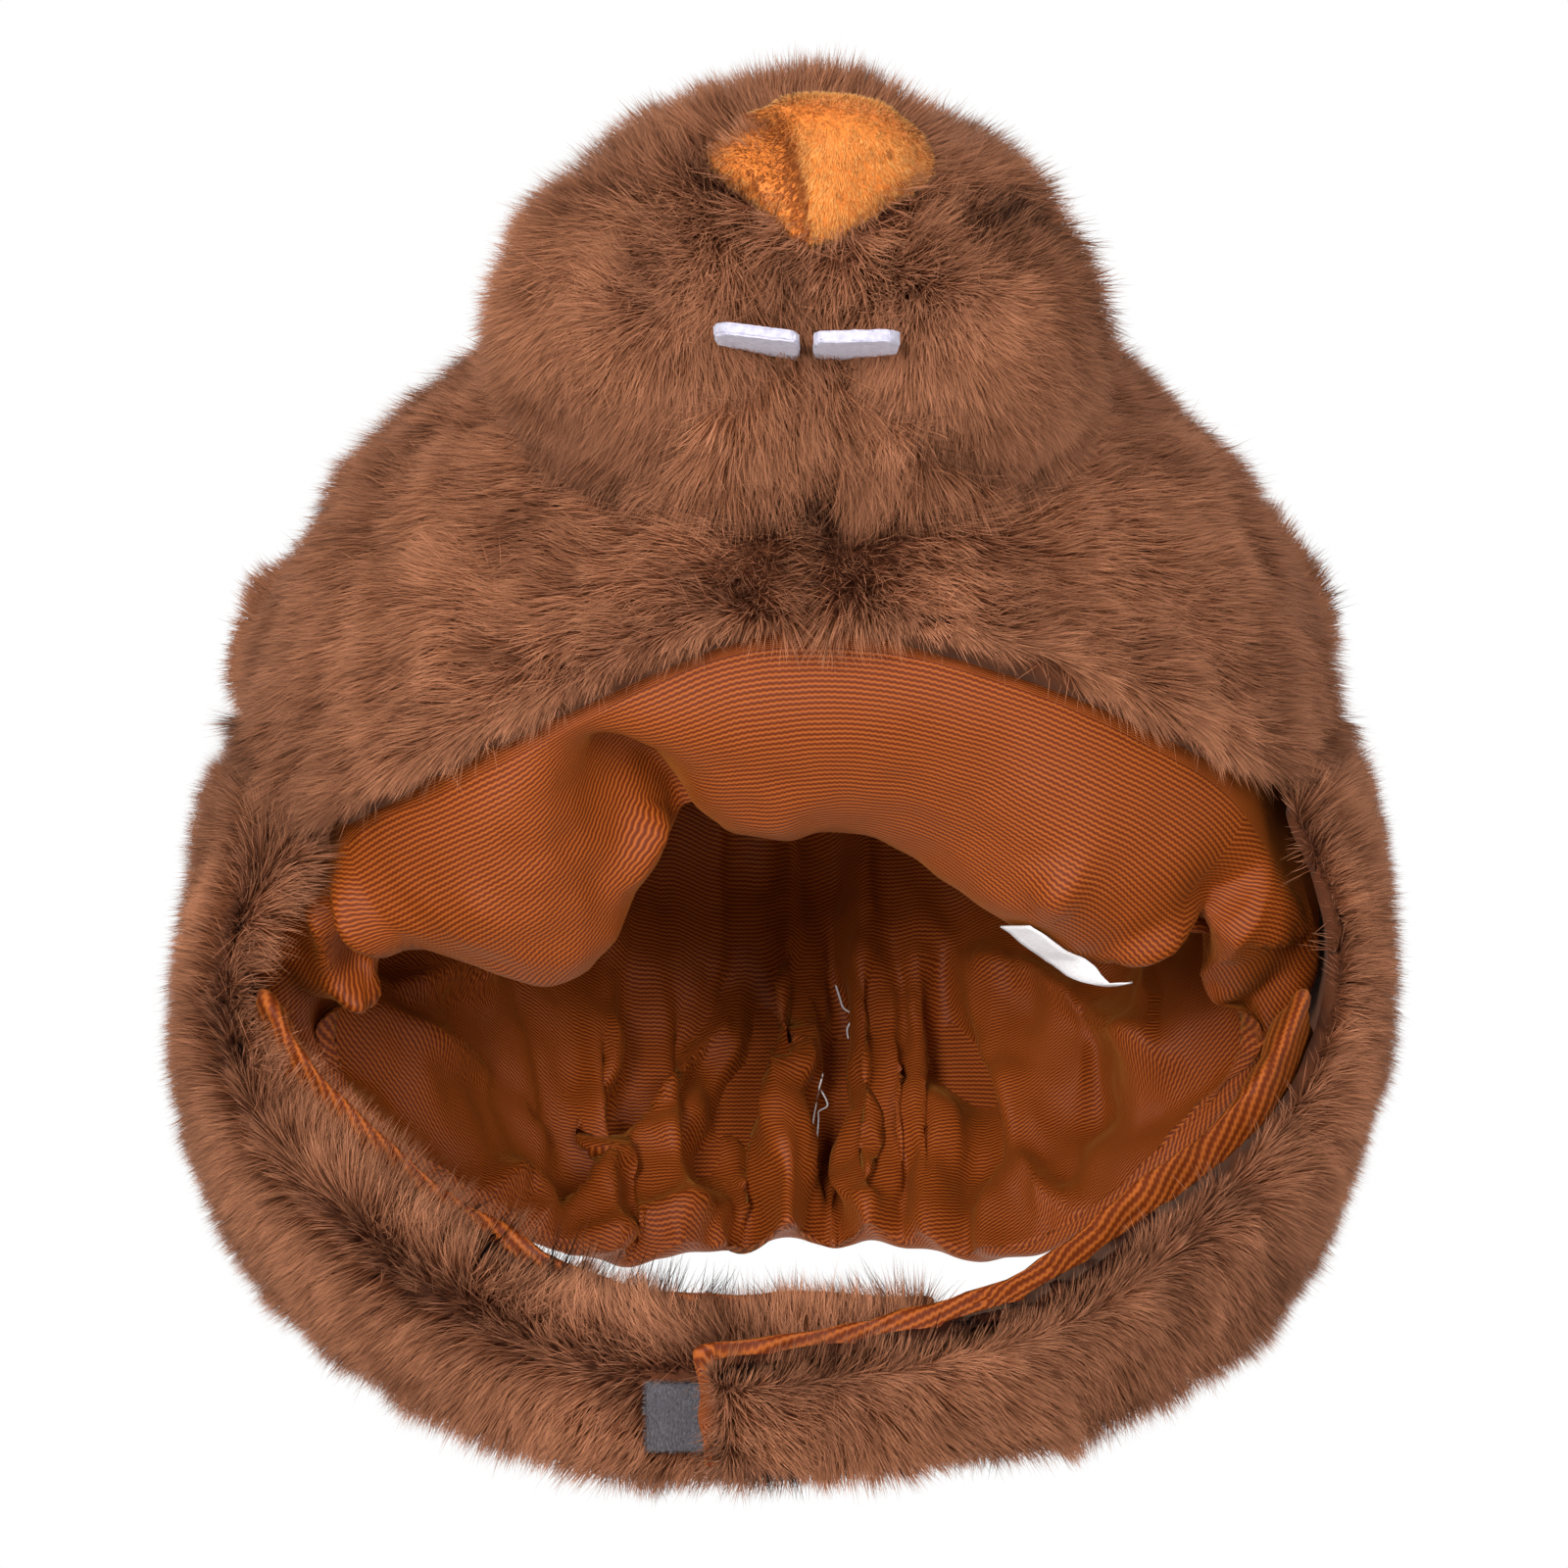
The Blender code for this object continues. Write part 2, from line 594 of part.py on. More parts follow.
def flap_backing(side, sections):
    """Rows of points on the flap's backing, from the top edge to the strap's end."""
    half_width = HALF_WIDTH_RIGHT if side > 0 else HALF_WIDTH_LEFT
    unit = np.array((half_width, FRONT_DEPTH, LOOP_DROP))
    share = np.linspace(0, 1, FLAP_COLUMNS + 1)[:, None]
    keys = [flap_top(side)]
    for section in sections:
        front, back = section["front"] * unit, section["back"] * unit
        line = front + (back - front) * share
        across = (back - front) / np.linalg.norm(back - front)
        out = line.mean(axis=0) - LOOP_CENTRE * unit
        out -= across * np.dot(out, across)
        out /= np.linalg.norm(out)
        keys.append(line + out * (FLAP_BOW * section["bow"] * 4 * share * (1 - share)))
    keys = np.array(keys)
    rows = []
    for i in range(len(keys) - 1):
        before, after = keys[max(i - 1, 0)], keys[min(i + 2, len(keys) - 1)]
        for k in range(ROWS_PER_SECTION):
            t = k / ROWS_PER_SECTION
            rows.append(
                0.5
                * (
                    2 * keys[i]
                    + (keys[i + 1] - before) * t
                    + (2 * before - 5 * keys[i] + 4 * keys[i + 1] - after) * t**2
                    + (3 * keys[i] - before - 3 * keys[i + 1] + after) * t**3
                )
            )
    rows.append(keys[-1])
    return np.array(rows)


def outward(rows, side):
    """Unit normals of the backing that point away from the head."""
    across = np.gradient(rows, axis=1)
    down = np.gradient(rows, axis=0)
    normals = np.cross(down, across) * side
    normals /= np.linalg.norm(normals, axis=2)[:, :, None]
    normals[0] = normals[0] * (1, 1, 0)
    normals[0] /= np.linalg.norm(normals[0], axis=1)[:, None]
    return normals


def padded_strip(name, rows, normals, start, thickness, power, thin, finish):
    """A solid on the backing: flat at the distance start, domed to thickness, closed at both ends.

    thin holds the shares of the thickness that are left at the end and just before its rounding.
    """
    count, columns = rows.shape[:2]
    share = np.linspace(-1, 1, columns)
    dome = (1 - np.abs(share) ** power) ** (1 / power)
    height = np.linspace(1, thin[1], count)
    height[-1] = thin[0]
    flat = rows + normals * start
    top = rows + normals * (start + thickness * height[:, None] * dome[None, :])[:, :, None]
    surface = Surface()
    low = surface.grid(flat)
    high = surface.grid(top[:, 1:-1])
    for edge, near in ((0, 0), (-1, -1)):
        surface.strip(low[:, edge], high[:, near])
    for end in (0, -1):
        ring = list(low[end]) + list(high[end][::-1])
        surface.cap(ring)
    return surface.build(name, finish)


def flap(name, side, sections):
    rows = flap_backing(side, sections)
    normals = outward(rows, side)
    fur = padded_strip(f"flap_{name}", rows, normals, 0.0, FLAP_FUR, 4.0, (0.6, 0.95), brown_fur())
    first = 3
    along_strap = np.linspace(0, 1, len(rows))[first:, None]
    reach = PAD_OVERHANG[side] * (PAD_OVERHANG_AT_END + (1 - PAD_OVERHANG_AT_END) * (1 - along_strap) ** 2)
    forward = rows[first:, 0] - rows[first:, 1]
    forward /= np.linalg.norm(forward, axis=1)[:, None]
    edge = rows[first:, 0] + forward * reach
    pad_rows = np.concatenate([edge[:, None], rows[first:]], axis=1)
    pad_normals = np.concatenate([normals[first:, :1], normals[first:]], axis=1)
    finish = rust_tricot()
    thickness = -FLAP_PAD[side]
    pad = padded_strip(f"flap_lining_{name}", pad_rows, pad_normals, -GAP, thickness, 2.6, PAD_THIN, finish)
    return rows, normals, fur, pad


def tape_patch(name, rows, normals, place, start, finish):
    """A flat rectangle of tape on the strap, at a share of its length and start above its backing."""
    at = place * len(rows) - 1
    i = min(int(at), len(rows) - 2)
    middle = rows[i].mean(axis=0) * (1 - at + i) + rows[i + 1].mean(axis=0) * (at - i)
    out = normals[i].mean(axis=0) * (1 - at + i) + normals[i + 1].mean(axis=0) * (at - i)
    out /= np.linalg.norm(out)
    length = np.array((1.0, 0, 0)) - out * out[0]
    length /= np.linalg.norm(length)
    width = np.cross(out, length)
    middle = middle + out * start
    surface = Surface()
    corners = []
    for height in (0.0, PATCH_TAPE):
        for u, v in ((-1, -1), (1, -1), (1, 1), (-1, 1)):
            corners.append(
                middle + length * (u * PATCH_LENGTH / 2) + width * (v * PATCH_WIDTH / 2) + out * height
            )
    surface.points = [tuple(c) for c in corners]
    surface.faces = [(0, 1, 2, 3), (4, 5, 6, 7), (0, 1, 5, 4), (1, 2, 6, 5), (2, 3, 7, 6), (3, 0, 4, 7)]
    return surface.build(name, finish)


# Muzzle: a stuffed snout, two cheeks, a crumpled nose and two felt teeth

ROUND_COLUMNS = 22
ROUND_ROWS = 13


def blob(name, centre, radii, finish, grow=0.0, shape=None, power=2.0):
    """A closed rounded form. shape bends its points, given as offsets from the centre."""
    surface = Surface()
    grid = []
    for j in range(ROUND_ROWS + 1):
        tilt = math.pi * j / ROUND_ROWS
        line = []
        for i in range(ROUND_COLUMNS + 1):
            turn = 2 * math.pi * (i % ROUND_COLUMNS) / ROUND_COLUMNS
            unit = np.array(
                (math.sin(tilt) * math.cos(turn), -math.cos(tilt), math.sin(tilt) * math.sin(turn))
            )
            unit /= (np.abs(unit) ** power).sum() ** (1 / power)
            offset = unit * (np.array(radii) + grow)
            if shape is not None:
                offset = shape(offset)
            line.append(np.array(centre) + offset)
        grid.append(line)
    surface.grid(grid)
    return surface.build(name, finish)


def snout_shape_of(offset):
    """Draws the snout in towards its top, and in along the seam of its underside."""
    x, y, z = offset
    narrow = 1 - SNOUT_NARROWING * max(z / SNOUT_RADII[2], 0.0) ** 1.5
    below = min(max(-z / SNOUT_RADII[2], 0.0), 1.0)
    seam = SNOUT_SEAM_DEPTH * below * bump(x, SNOUT_SEAM_WIDTH)
    return np.array((x * narrow, y + seam * 0.5, z + seam))


def drooped(side):
    """Droops a cheek a little outwards."""
    return lambda offset: np.array((offset[0], offset[1], offset[2] - CHEEK_DROOP * offset[0] * side))


def half_space(name, side):
    """A block that holds everything on one side of the middle plane, less half the gap."""
    surface = Surface()
    far = 3 * HALF_WIDTH_LEFT * side
    near = -side * GAP / 2
    low, high = -3 * FRONT_DEPTH, 3 * FRONT_DEPTH
    corners = [(x, y, z) for z in (low, high) for y in (low, high) for x in (near, far)]
    surface.points = corners
    surface.faces = [(0, 1, 3, 2), (4, 5, 7, 6), (0, 1, 5, 4), (2, 3, 7, 6), (0, 2, 6, 4), (1, 3, 7, 5)]
    return helper(surface.build(name, brown_fur()))


def snout_body(name, grow=0.0):
    return blob(name, SNOUT_CENTRE, SNOUT_RADII, brown_fur(), grow, snout_shape_of)


def cheek_body(name, cheek, grow=0.0):
    side = cheek["side"]
    centre = np.array(CHEEK_CENTRE) * cheek["place"] * (side, 1, 1)
    radii = np.array(CHEEK_RADII) * cheek["size"]
    return blob(name, centre, radii, brown_fur(), grow, drooped(side), CHEEK_POWER)


NOSE_COLUMNS = 28
NOSE_RINGS = 6
NOSE_FOLD_FROM = (-0.55, 0.62)
NOSE_FOLD_TO = (-0.06, -0.92)
NOSE_FOLD_DEPTH = 0.0075
NOSE_FOLD_WIDTH = 0.16


def nose_fold(u, v):
    """Depth of the crease that runs down the nose from its upper left to its tip."""
    a, b = np.array(NOSE_FOLD_FROM), np.array(NOSE_FOLD_TO)
    p = np.array((u, v))
    t = np.clip(np.dot(p - a, b - a) / np.dot(b - a, b - a), 0, 1)
    away = np.linalg.norm(p - (a + (b - a) * t))
    return NOSE_FOLD_DEPTH * math.sin(math.pi * (0.12 + 0.76 * t)) * bump(away, NOSE_FOLD_WIDTH)


def nose():
    """A stuffed pad whose outline is a soft triangle, its front domed and creased."""
    surface = Surface()
    front, back = [], []
    for ring in range(NOSE_RINGS + 1):
        share = 1 - ring / NOSE_RINGS
        front_line, back_line = [], []
        for i in range(NOSE_COLUMNS + 1):
            angle = 360 * (i % NOSE_COLUMNS) / NOSE_COLUMNS
            reach = along(NOSE_OUTLINE, "reach", angle) * share
            turn = math.radians(angle)
            u, v = reach * math.cos(turn), reach * math.sin(turn)
            dome = (1 - share**2.6) ** 0.5
            x = NOSE_CENTRE[0] + u * NOSE_WIDTH / 2
            z = NOSE_CENTRE[2] + v * NOSE_HEIGHT / 2
            wrap = 0.010 * (u * u + v * v)
            y = NOSE_CENTRE[1] + wrap
            front_line.append((x, y - NOSE_THICKNESS * dome + nose_fold(u, v) * dome, z))
            back_line.append((x, y + 0.012 * dome, z))
        front.append(front_line)
        back.append(back_line)
    surface.grid(front)
    surface.grid(back)
    return surface.build("nose", orange_plush())


def tooth(name, side):
    """A felt rectangle with its outer corner cut, pointing out of the mouth and a little down."""
    pitch = math.radians(TOOTH_PITCH)
    out = np.array((0.0, -math.cos(pitch), -math.sin(pitch)))
    up = np.array((0.0, -math.sin(pitch), math.cos(pitch)))
    root = np.array((side * TOOTH_ROOT[0], TOOTH_ROOT[1], TOOTH_ROOT[2]))
    across = np.array((float(side), 0.0, TOOTH_TILT[side]))
    outline = [
        (0.0, 0.0),
        (1.0, 0.0),
        (1.04, 0.84),
        (0.90, 1.0),
        (0.06, 1.0),
        (0.0, 0.92),
    ]
    surface = Surface()
    for height in (-TOOTH_FELT / 2, TOOTH_FELT / 2):
        for u, v in outline:
            point = root + across * (u * TOOTH_WIDTH) + out * (v * TOOTH_LENGTH) + up * height
            surface.points.append(tuple(point))
    count = len(outline)
    surface.faces = [tuple(range(count)), tuple(range(count, 2 * count))]
    for i in range(count):
        after = (i + 1) % count
        surface.faces.append((i, after, after + count, i + count))
    return surface.build(name, white_felt())


def muzzle(crown_shape):
    """Snout, cheeks, nose and teeth, each trimmed to its neighbours with a small gap."""
    snout_shape = helper(snout_body("snout_cutter", GAP))
    cheek_shapes = [helper(cheek_body(f"cheek_cutter_{row['name']}", row, GAP)) for row in CHEEKS]
    cut(snout_body("snout"), crown_shape, *cheek_shapes)
    for row in CHEEKS:
        other_side = half_space(f"middle_cutter_{row['name']}", -row["side"])
        cut(cheek_body(f"cheek_{row['name']}", row), crown_shape, other_side)
        cut(tooth(f"tooth_{row['name']}", row["side"]), *cheek_shapes, snout_shape)
    cut(nose(), snout_shape, *cheek_shapes)


# Ears: small rounded pads on the sides of the hood, laid back

EAR_COLUMNS = 16
EAR_RINGS = 4
EARS = [
    {"name": "ear_left", "side": -1, "angle": 103, "height": 0.37},
    {"name": "ear_right", "side": 1, "angle": 103, "height": 0.45},
]


def ear(name, side, angle, height, crown_shape):
    """A half-oval pad rooted on the hood at an angle and a share of the crown's height."""
    z = WIDEST_Z + CROWN_HEIGHT * height
    base = np.array(at_angle(side * angle, shell_radius(side * angle, z, 0.004), z))
    out = np.array((side * 0.80, 0.52, 0.30))
    out /= np.linalg.norm(out)
    up = np.array((side * -0.20, -0.20, 0.95))
    up -= out * np.dot(up, out)
    up /= np.linalg.norm(up)
    face = np.cross(out, up)
    rings = []
    for ring in range(2 * EAR_RINGS + 1):
        lift = -1 + ring / EAR_RINGS
        share = (1 - abs(lift) ** 2.5) ** (1 / 2.5)
        line = []
        for i in range(EAR_COLUMNS + 1):
            turn = 2 * math.pi * (i % EAR_COLUMNS) / EAR_COLUMNS
            u, v = math.sin(turn) * EAR_WIDTH / 2, math.cos(turn) * EAR_HEIGHT
            line.append(base + up * (u * share) + out * (v * share) + face * (lift * EAR_THICKNESS / 2))
        rings.append(line)
    surface = Surface()
    surface.grid(rings)
    return cut(surface.build(name, brown_fur()), crown_shape)


# Care label: a blank tag that lies along the right puff of the lining, its free end lifted

LABEL_STEPS = 6
PUFF_ROW = 2


def care_label():
    edges = []
    for k in range(LABEL_STEPS + 1):
        share = k / LABEL_STEPS
        angle = LABEL_FROM_ANGLE + (LABEL_TO_ANGLE - LABEL_FROM_ANGLE) * share
        wall = np.array(lining_inner(angle))
        foot = wall[PUFF_ROW] + (wall[PUFF_ROW + 1] - wall[PUFF_ROW]) * LABEL_PLACE
        turn = math.radians(angle)
        up = (wall[PUFF_ROW + 1] - wall[PUFF_ROW]) / np.linalg.norm(wall[PUFF_ROW + 1] - wall[PUFF_ROW])
        out = np.cross(up, (math.cos(turn), math.sin(turn), 0.0))
        out /= np.linalg.norm(out)
        lift = out * (LABEL_OFFSET + LABEL_CURL * share**3)
        edges.append([foot + lift, foot + lift + up * LABEL_WIDTH, out])
    surface = Surface()
    under = surface.grid([[a, b] for a, b, out in edges])
    over = surface.grid([[a + out * LABEL_CLOTH, b + out * LABEL_CLOTH] for a, b, out in edges])
    for edge in (0, 1):
        surface.strip(under[:, edge], over[:, edge])
    for end in (0, -1):
        surface.strip(under[end], over[end])
    return surface.build("care_label", white_satin())


def main():
    for obj in list(bpy.data.objects):
        bpy.data.objects.remove(obj)
    crown_half("crown_left", -1)
    crown_half("crown_right", 1)
    crown_shape = crown_cutter()
    lining()
    left_rows, left_normals, _, _ = flap("left", -1, FLAP_LEFT)
    right_rows, right_normals, _, _ = flap("right", 1, FLAP_RIGHT)
    tape_patch("loop_patch", left_rows, left_normals, LOOP_PATCH_PLACE, FLAP_FUR + PATCH_SEAT, grey_tape())
    under = -GAP * 2 - PAD_AT_HOOK - PATCH_TAPE
    tape_patch("hook_patch", right_rows, right_normals, HOOK_PATCH_PLACE, under, grey_tape())
    muzzle(crown_shape)
    for row in EARS:
        ear(crown_shape=crown_shape, **row)
    care_label()


main()
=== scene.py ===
"""Dresses the groundhog plush hat: long-pile fur, ribbed tricot, plush nose, felt teeth and label.

Metres, in the part's own frame: +Z up, the face opening along -Y.
"""

import math

import bmesh
import bpy
import numpy as np
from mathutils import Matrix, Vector
from mathutils.bvhtree import BVHTree
from mathutils.kdtree import KDTree


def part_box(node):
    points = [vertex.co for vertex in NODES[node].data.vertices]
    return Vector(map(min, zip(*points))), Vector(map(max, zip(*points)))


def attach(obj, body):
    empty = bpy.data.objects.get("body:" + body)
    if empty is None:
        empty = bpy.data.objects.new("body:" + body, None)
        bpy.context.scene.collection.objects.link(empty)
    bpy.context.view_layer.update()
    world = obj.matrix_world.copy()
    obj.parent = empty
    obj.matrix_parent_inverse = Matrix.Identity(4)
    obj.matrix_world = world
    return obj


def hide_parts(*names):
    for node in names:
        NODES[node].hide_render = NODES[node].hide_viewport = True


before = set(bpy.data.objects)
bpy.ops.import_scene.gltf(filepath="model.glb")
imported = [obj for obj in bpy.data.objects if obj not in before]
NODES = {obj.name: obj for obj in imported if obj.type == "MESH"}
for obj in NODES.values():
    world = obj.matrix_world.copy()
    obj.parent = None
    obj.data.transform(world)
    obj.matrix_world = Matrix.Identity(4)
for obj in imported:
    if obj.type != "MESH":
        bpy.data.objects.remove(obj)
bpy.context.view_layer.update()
RNG = np.random.default_rng(7)

# Camera: it looks up into the hood
CAMERA_DISTANCE = 1.005
CAMERA_LENS = 100.0
CAMERA_SENSOR = 36.0
CAMERA_TARGET = (-0.0045, 0.0, 0.0)
TILT = math.radians(28.0)
EYE = np.array(CAMERA_TARGET) - CAMERA_DISTANCE * np.array((0, math.cos(TILT), math.sin(TILT)))
FLOOR_Z = -1.30

# Hood, as in the part
HALF_WIDTH_LEFT = 0.130
HALF_WIDTH_RIGHT = 0.124
FRONT_DEPTH = 0.118
BACK_DEPTH = 0.114
CROWN_HEIGHT = 0.120
WIDEST_Z = 0.008
BODY_DROP = 0.086
PLAN_POWER = 2.15
DOME_POWER = 1.86
PLUSH = 0.013
LINING_GAP = 0.0011
LINING_TOP_WALL = 0.006
LINING_HEM_ROLL = 0.006
PUFF_SAG = 0.030
PUFF_REACH = 0.070
SIDE_BULGE = 0.010
BULGE_CLEARANCE = 0.008
BULGE_RISE = 0.032
GATHER_RISE = 0.015
CRUMPLE_RISE = 0.008

def table(columns, *rows):
    """The rows as dictionaries with the named columns."""
    return [dict(zip(columns.split(), row)) for row in rows]


# Round the hood by angle, 0 at the front: the fur's hem, and how the body narrows downwards
CROWN_HEM = table(
    "angle drop",
    (-180, 0.88), (-150, 0.88), (-138, 0.70), (-122, 0.12), (-100, 0.05), (-82, 0.09), (-70, 0.38),
    (-60, 0.62), (-45, 0.64), (-29, 0.57), (-14, 0.45), (0, 0.36), (14, 0.42), (27, 0.47), (42, 0.51),
    (57, 0.50), (70, 0.32), (82, 0.06), (100, 0.03), (122, 0.12), (138, 0.68), (150, 0.86), (180, 0.88),
)
BODY_TAPER = table("angle taper", (0, 0.02), (60, 0.03), (95, 0.06), (130, 0.14), (160, 0.13), (180, 0.12))

# The padded lining: its hem, how far it sags under the brow, and how thick it is low and high
LINING = table(
    "angle hem sag reach upper bulge",
    (-180, 0.985, 0.13, 0.29, 0.30, 0.0),
    (-160, 1.035, 0.17, 0.30, 0.30, 0.0),
    (-145, 1.110, 0.17, 0.31, 0.30, 0.0),
    (-125, 1.005, 0.20, 0.34, 0.30, 0.3),
    (-105, 0.880, 0.20, 0.31, 0.33, 0.8),
    (-90, 0.800, 0.20, 0.31, 0.39, 1.0),
    (-80, 0.760, 0.25, 0.44, 0.49, 1.0),
    (-72, 0.700, 0.22, 0.47, 0.53, 0.7),
    (-65, 0.665, 0.42, 0.66, 0.58, 0.3),
    (-58, 0.640, 0.74, 0.93, 0.64, 0.0),
    (-45, 0.650, 0.67, 0.99, 0.69, 0.0),
    (-34, 0.610, 0.20, 0.96, 0.71, 0.0),
    (-27, 0.560, -0.43, 0.94, 0.69, 0.0),
    (-19, 0.490, 0.20, 1.00, 0.74, 0.0),
    (-8, 0.410, 0.63, 1.00, 0.74, 0.0),
    (8, 0.400, 0.63, 0.97, 0.74, 0.0),
    (22, 0.450, 0.57, 0.97, 0.71, 0.0),
    (42, 0.520, 0.87, 0.96, 0.66, 0.0),
    (57, 0.540, 0.95, 0.90, 0.60, 0.0),
    (65, 0.575, 0.66, 0.68, 0.54, 0.2),
    (73, 0.640, 0.32, 0.50, 0.50, 0.6),
    (82, 0.750, 0.26, 0.44, 0.45, 0.8),
    (92, 0.790, 0.20, 0.31, 0.36, 0.5),
    (106, 0.835, 0.20, 0.31, 0.31, 0.3),
    (125, 1.010, 0.20, 0.34, 0.30, 0.1),
    (145, 1.100, 0.17, 0.31, 0.30, 0.0),
    (160, 1.010, 0.17, 0.30, 0.30, 0.0),
    (180, 0.985, 0.13, 0.29, 0.30, 0.0),
)

# Gathers that run up the nape from foot to head, and crumples of the sides
GATHERS = table(
    "foot head width rise fade",
    (144, 150, 4.6, 0.53, 0.70),
    (156, 165, 4.0, 0.73, 0.90),
    (167, 172, 3.2, 0.87, 1.00),
    (175, 177, 2.2, -0.27, 0.80),
    (183, 181, 2.8, 1.00, 1.20),
    (190, 187, 2.6, -0.27, 0.90),
    (203, 196, 6.5, 0.60, 1.00),
    (217, 207, 3.2, 0.67, 0.90),
)
CRUMPLES = table(
    "angle low wide tall rise",
    (-83, 0.62, 7, 0.26, 0.35),
    (-97, 0.50, 5, 0.36, -0.50),
    (-112, 0.62, 8, 0.34, 0.75),
    (-128, 0.66, 5, 0.30, -0.50),
    (84, 0.60, 6, 0.28, 0.35),
    (99, 0.55, 5, 0.32, -0.50),
    (116, 0.62, 9, 0.34, 1.00),
    (132, 0.70, 4, 0.24, -0.50),
)


def along(table, column, at, key="angle"):
    """The column's values at keys between the table's rows, on one smooth curve."""
    keys = np.array([row[key] for row in table], float)
    values = np.array([row[column] for row in table], float)
    slopes = np.gradient(values, keys)
    at = np.clip(at, keys[0], keys[-1])
    i = np.clip(np.searchsorted(keys, at, side="right") - 1, 0, len(keys) - 2)
    span = keys[i + 1] - keys[i]
    t = (at - keys[i]) / span
    rise = values[i + 1] - values[i]
    bend = span * t * (1 - t) * (slopes[i] * (1 - t) - slopes[i + 1] * t)
    return values[i] + rise * t * t * (3 - 2 * t) + bend


def unit(vectors):
    return vectors / np.maximum(np.linalg.norm(vectors, axis=-1, keepdims=True), 1e-9)


def bump(distance, width):
    return np.exp(-((distance / width) ** 2))


def smooth(t):
    t = np.clip(t, 0, 1)
    return t * t * (3 - 2 * t)


def waves(points, size, seed, count=9):
    """Soft noise from -1 to 1 with bumps of about that size, for points in metres."""
    rng = np.random.default_rng(seed)
    total = np.zeros(points.shape[:-1])
    for _ in range(count):
        way = unit(rng.normal(size=3)) * (2 * math.pi / size) * rng.uniform(0.6, 1.5)
        total += np.sin(points @ way + rng.uniform(0, 6.28))
    return total / math.sqrt(count) / 1.2


# Materials

# Where the middle colour lies along a strand, and how far shading follows the pile's own direction
SHAFT_MIDDLE = 0.40
PILE_SHARE = 0.72

RIB_PITCH = 0.00112
ZIGZAG_WIDTH = 0.00068
ZIGZAG_CLIMB = 0.30
RIB_DRIFT = 0.0012
STITCH_PITCH = 0.00060


def material(name, roughness, specular, sheen, sheen_tint, sheen_roughness):
    made = bpy.data.materials.new(name)
    made.use_nodes = True
    shader = made.node_tree.nodes["Principled BSDF"]
    shader.inputs["Roughness"].default_value = roughness
    shader.inputs["Specular IOR Level"].default_value = specular
    shader.inputs["Sheen Weight"].default_value = sheen
    shader.inputs["Sheen Tint"].default_value = (*sheen_tint, 1)
    shader.inputs["Sheen Roughness"].default_value = sheen_roughness
    return made, made.node_tree, shader


def node(tree, kind, **settings):
    made = tree.nodes.new(kind)
    for key, value in settings.items():
        setattr(made, key, value)
    return made


def put_in(tree, socket, value):
    """Sets a socket to a number or colour, or links another node's output to it."""
    if isinstance(value, (int, float)):
        socket.default_value = value
    elif isinstance(value, tuple):
        socket.default_value = (*value, 1)
    else:
        tree.links.new(value, socket)


def math_node(tree, operation, *values):
    made = node(tree, "ShaderNodeMath", operation=operation)
    for socket, value in zip(made.inputs, values):
        put_in(tree, socket, value)
    return made.outputs[0]


def ramp(tree, factor, stops):
    made = node(tree, "ShaderNodeValToRGB")
    elements = made.color_ramp.elements
    while len(elements) < len(stops):
        elements.new(0.5)
    for element, (at, colour) in zip(elements, stops):
        element.position = at
        element.color = (*colour, 1)
    tree.links.new(factor, made.inputs[0])
    return made.outputs[0]


def multiply(tree, first, second):
    """The product of two colours."""
    made = node(tree, "ShaderNodeMix", data_type="RGBA", blend_type="MULTIPLY")
    for number, value in ((0, 1.0), (6, first), (7, second)):
        put_in(tree, made.inputs[number], value)
    return made.outputs[2]


def separated(tree, vector):
    """The three parts of a vector."""
    made = node(tree, "ShaderNodeSeparateXYZ")
    tree.links.new(vector, made.inputs[0])
    return made.outputs


def noise(tree, place, scale, detail=2.0):
    made = node(tree, "ShaderNodeTexNoise")
    made.inputs["Scale"].default_value = scale
    made.inputs["Detail"].default_value = detail
    tree.links.new(place, made.inputs["Vector"])
    return made.outputs["Fac"]


def raise_by(tree, shader, height, strength, distance):
    """Fine relief on the shader's surface."""
    made = node(tree, "ShaderNodeBump")
    made.inputs["Strength"].default_value = strength
    made.inputs["Distance"].default_value = distance
    tree.links.new(height, made.inputs["Height"])
    tree.links.new(made.outputs[0], shader.inputs["Normal"])


def pile_material(name, root, middle, tip, dark, light, roughness=0.7, sheen=0.04):
    """Pile whose colour runs from root to tip (V) and varies from strand to strand (U)."""
    made, tree, shader = material(name, roughness, 0.10, sheen, (1.0, 0.74, 0.56), 0.5)
    strand, height, _ = separated(tree, node(tree, "ShaderNodeUVMap", uv_map="OFBake").outputs[0])
    shaft = ramp(tree, height, [(0.0, root), (SHAFT_MIDDLE, middle), (1.0, tip)])
    tone = ramp(tree, strand, [(0.0, dark), (0.5, (0.5, 0.5, 0.5)), (1.0, light)])
    doubled = multiply(tree, tone, (2.0, 2.0, 2.0))
    tree.links.new(multiply(tree, shaft, doubled), shader.inputs["Base Color"])
    straight = node(tree, "ShaderNodeNewGeometry")
    lean = node(tree, "ShaderNodeAttribute", attribute_name="pile_normal")
    blend = node(tree, "ShaderNodeMix", data_type="VECTOR")
    blend.inputs[0].default_value = PILE_SHARE
    tree.links.new(straight.outputs["Normal"], blend.inputs[4])
    tree.links.new(lean.outputs["Vector"], blend.inputs[5])
    level = node(tree, "ShaderNodeVectorMath", operation="NORMALIZE")
    tree.links.new(blend.outputs[1], level.inputs[0])
    tree.links.new(level.outputs[0], shader.inputs["Normal"])
    return made


def ribs(tree, place, pitch):
    """Waves from 0 to 1 across a place, one for each pitch."""
    turns = math_node(tree, "MULTIPLY", place, 2 * math.pi / pitch)
    return math_node(tree, "MULTIPLY_ADD", math_node(tree, "SINE", turns), 0.5, 0.5)


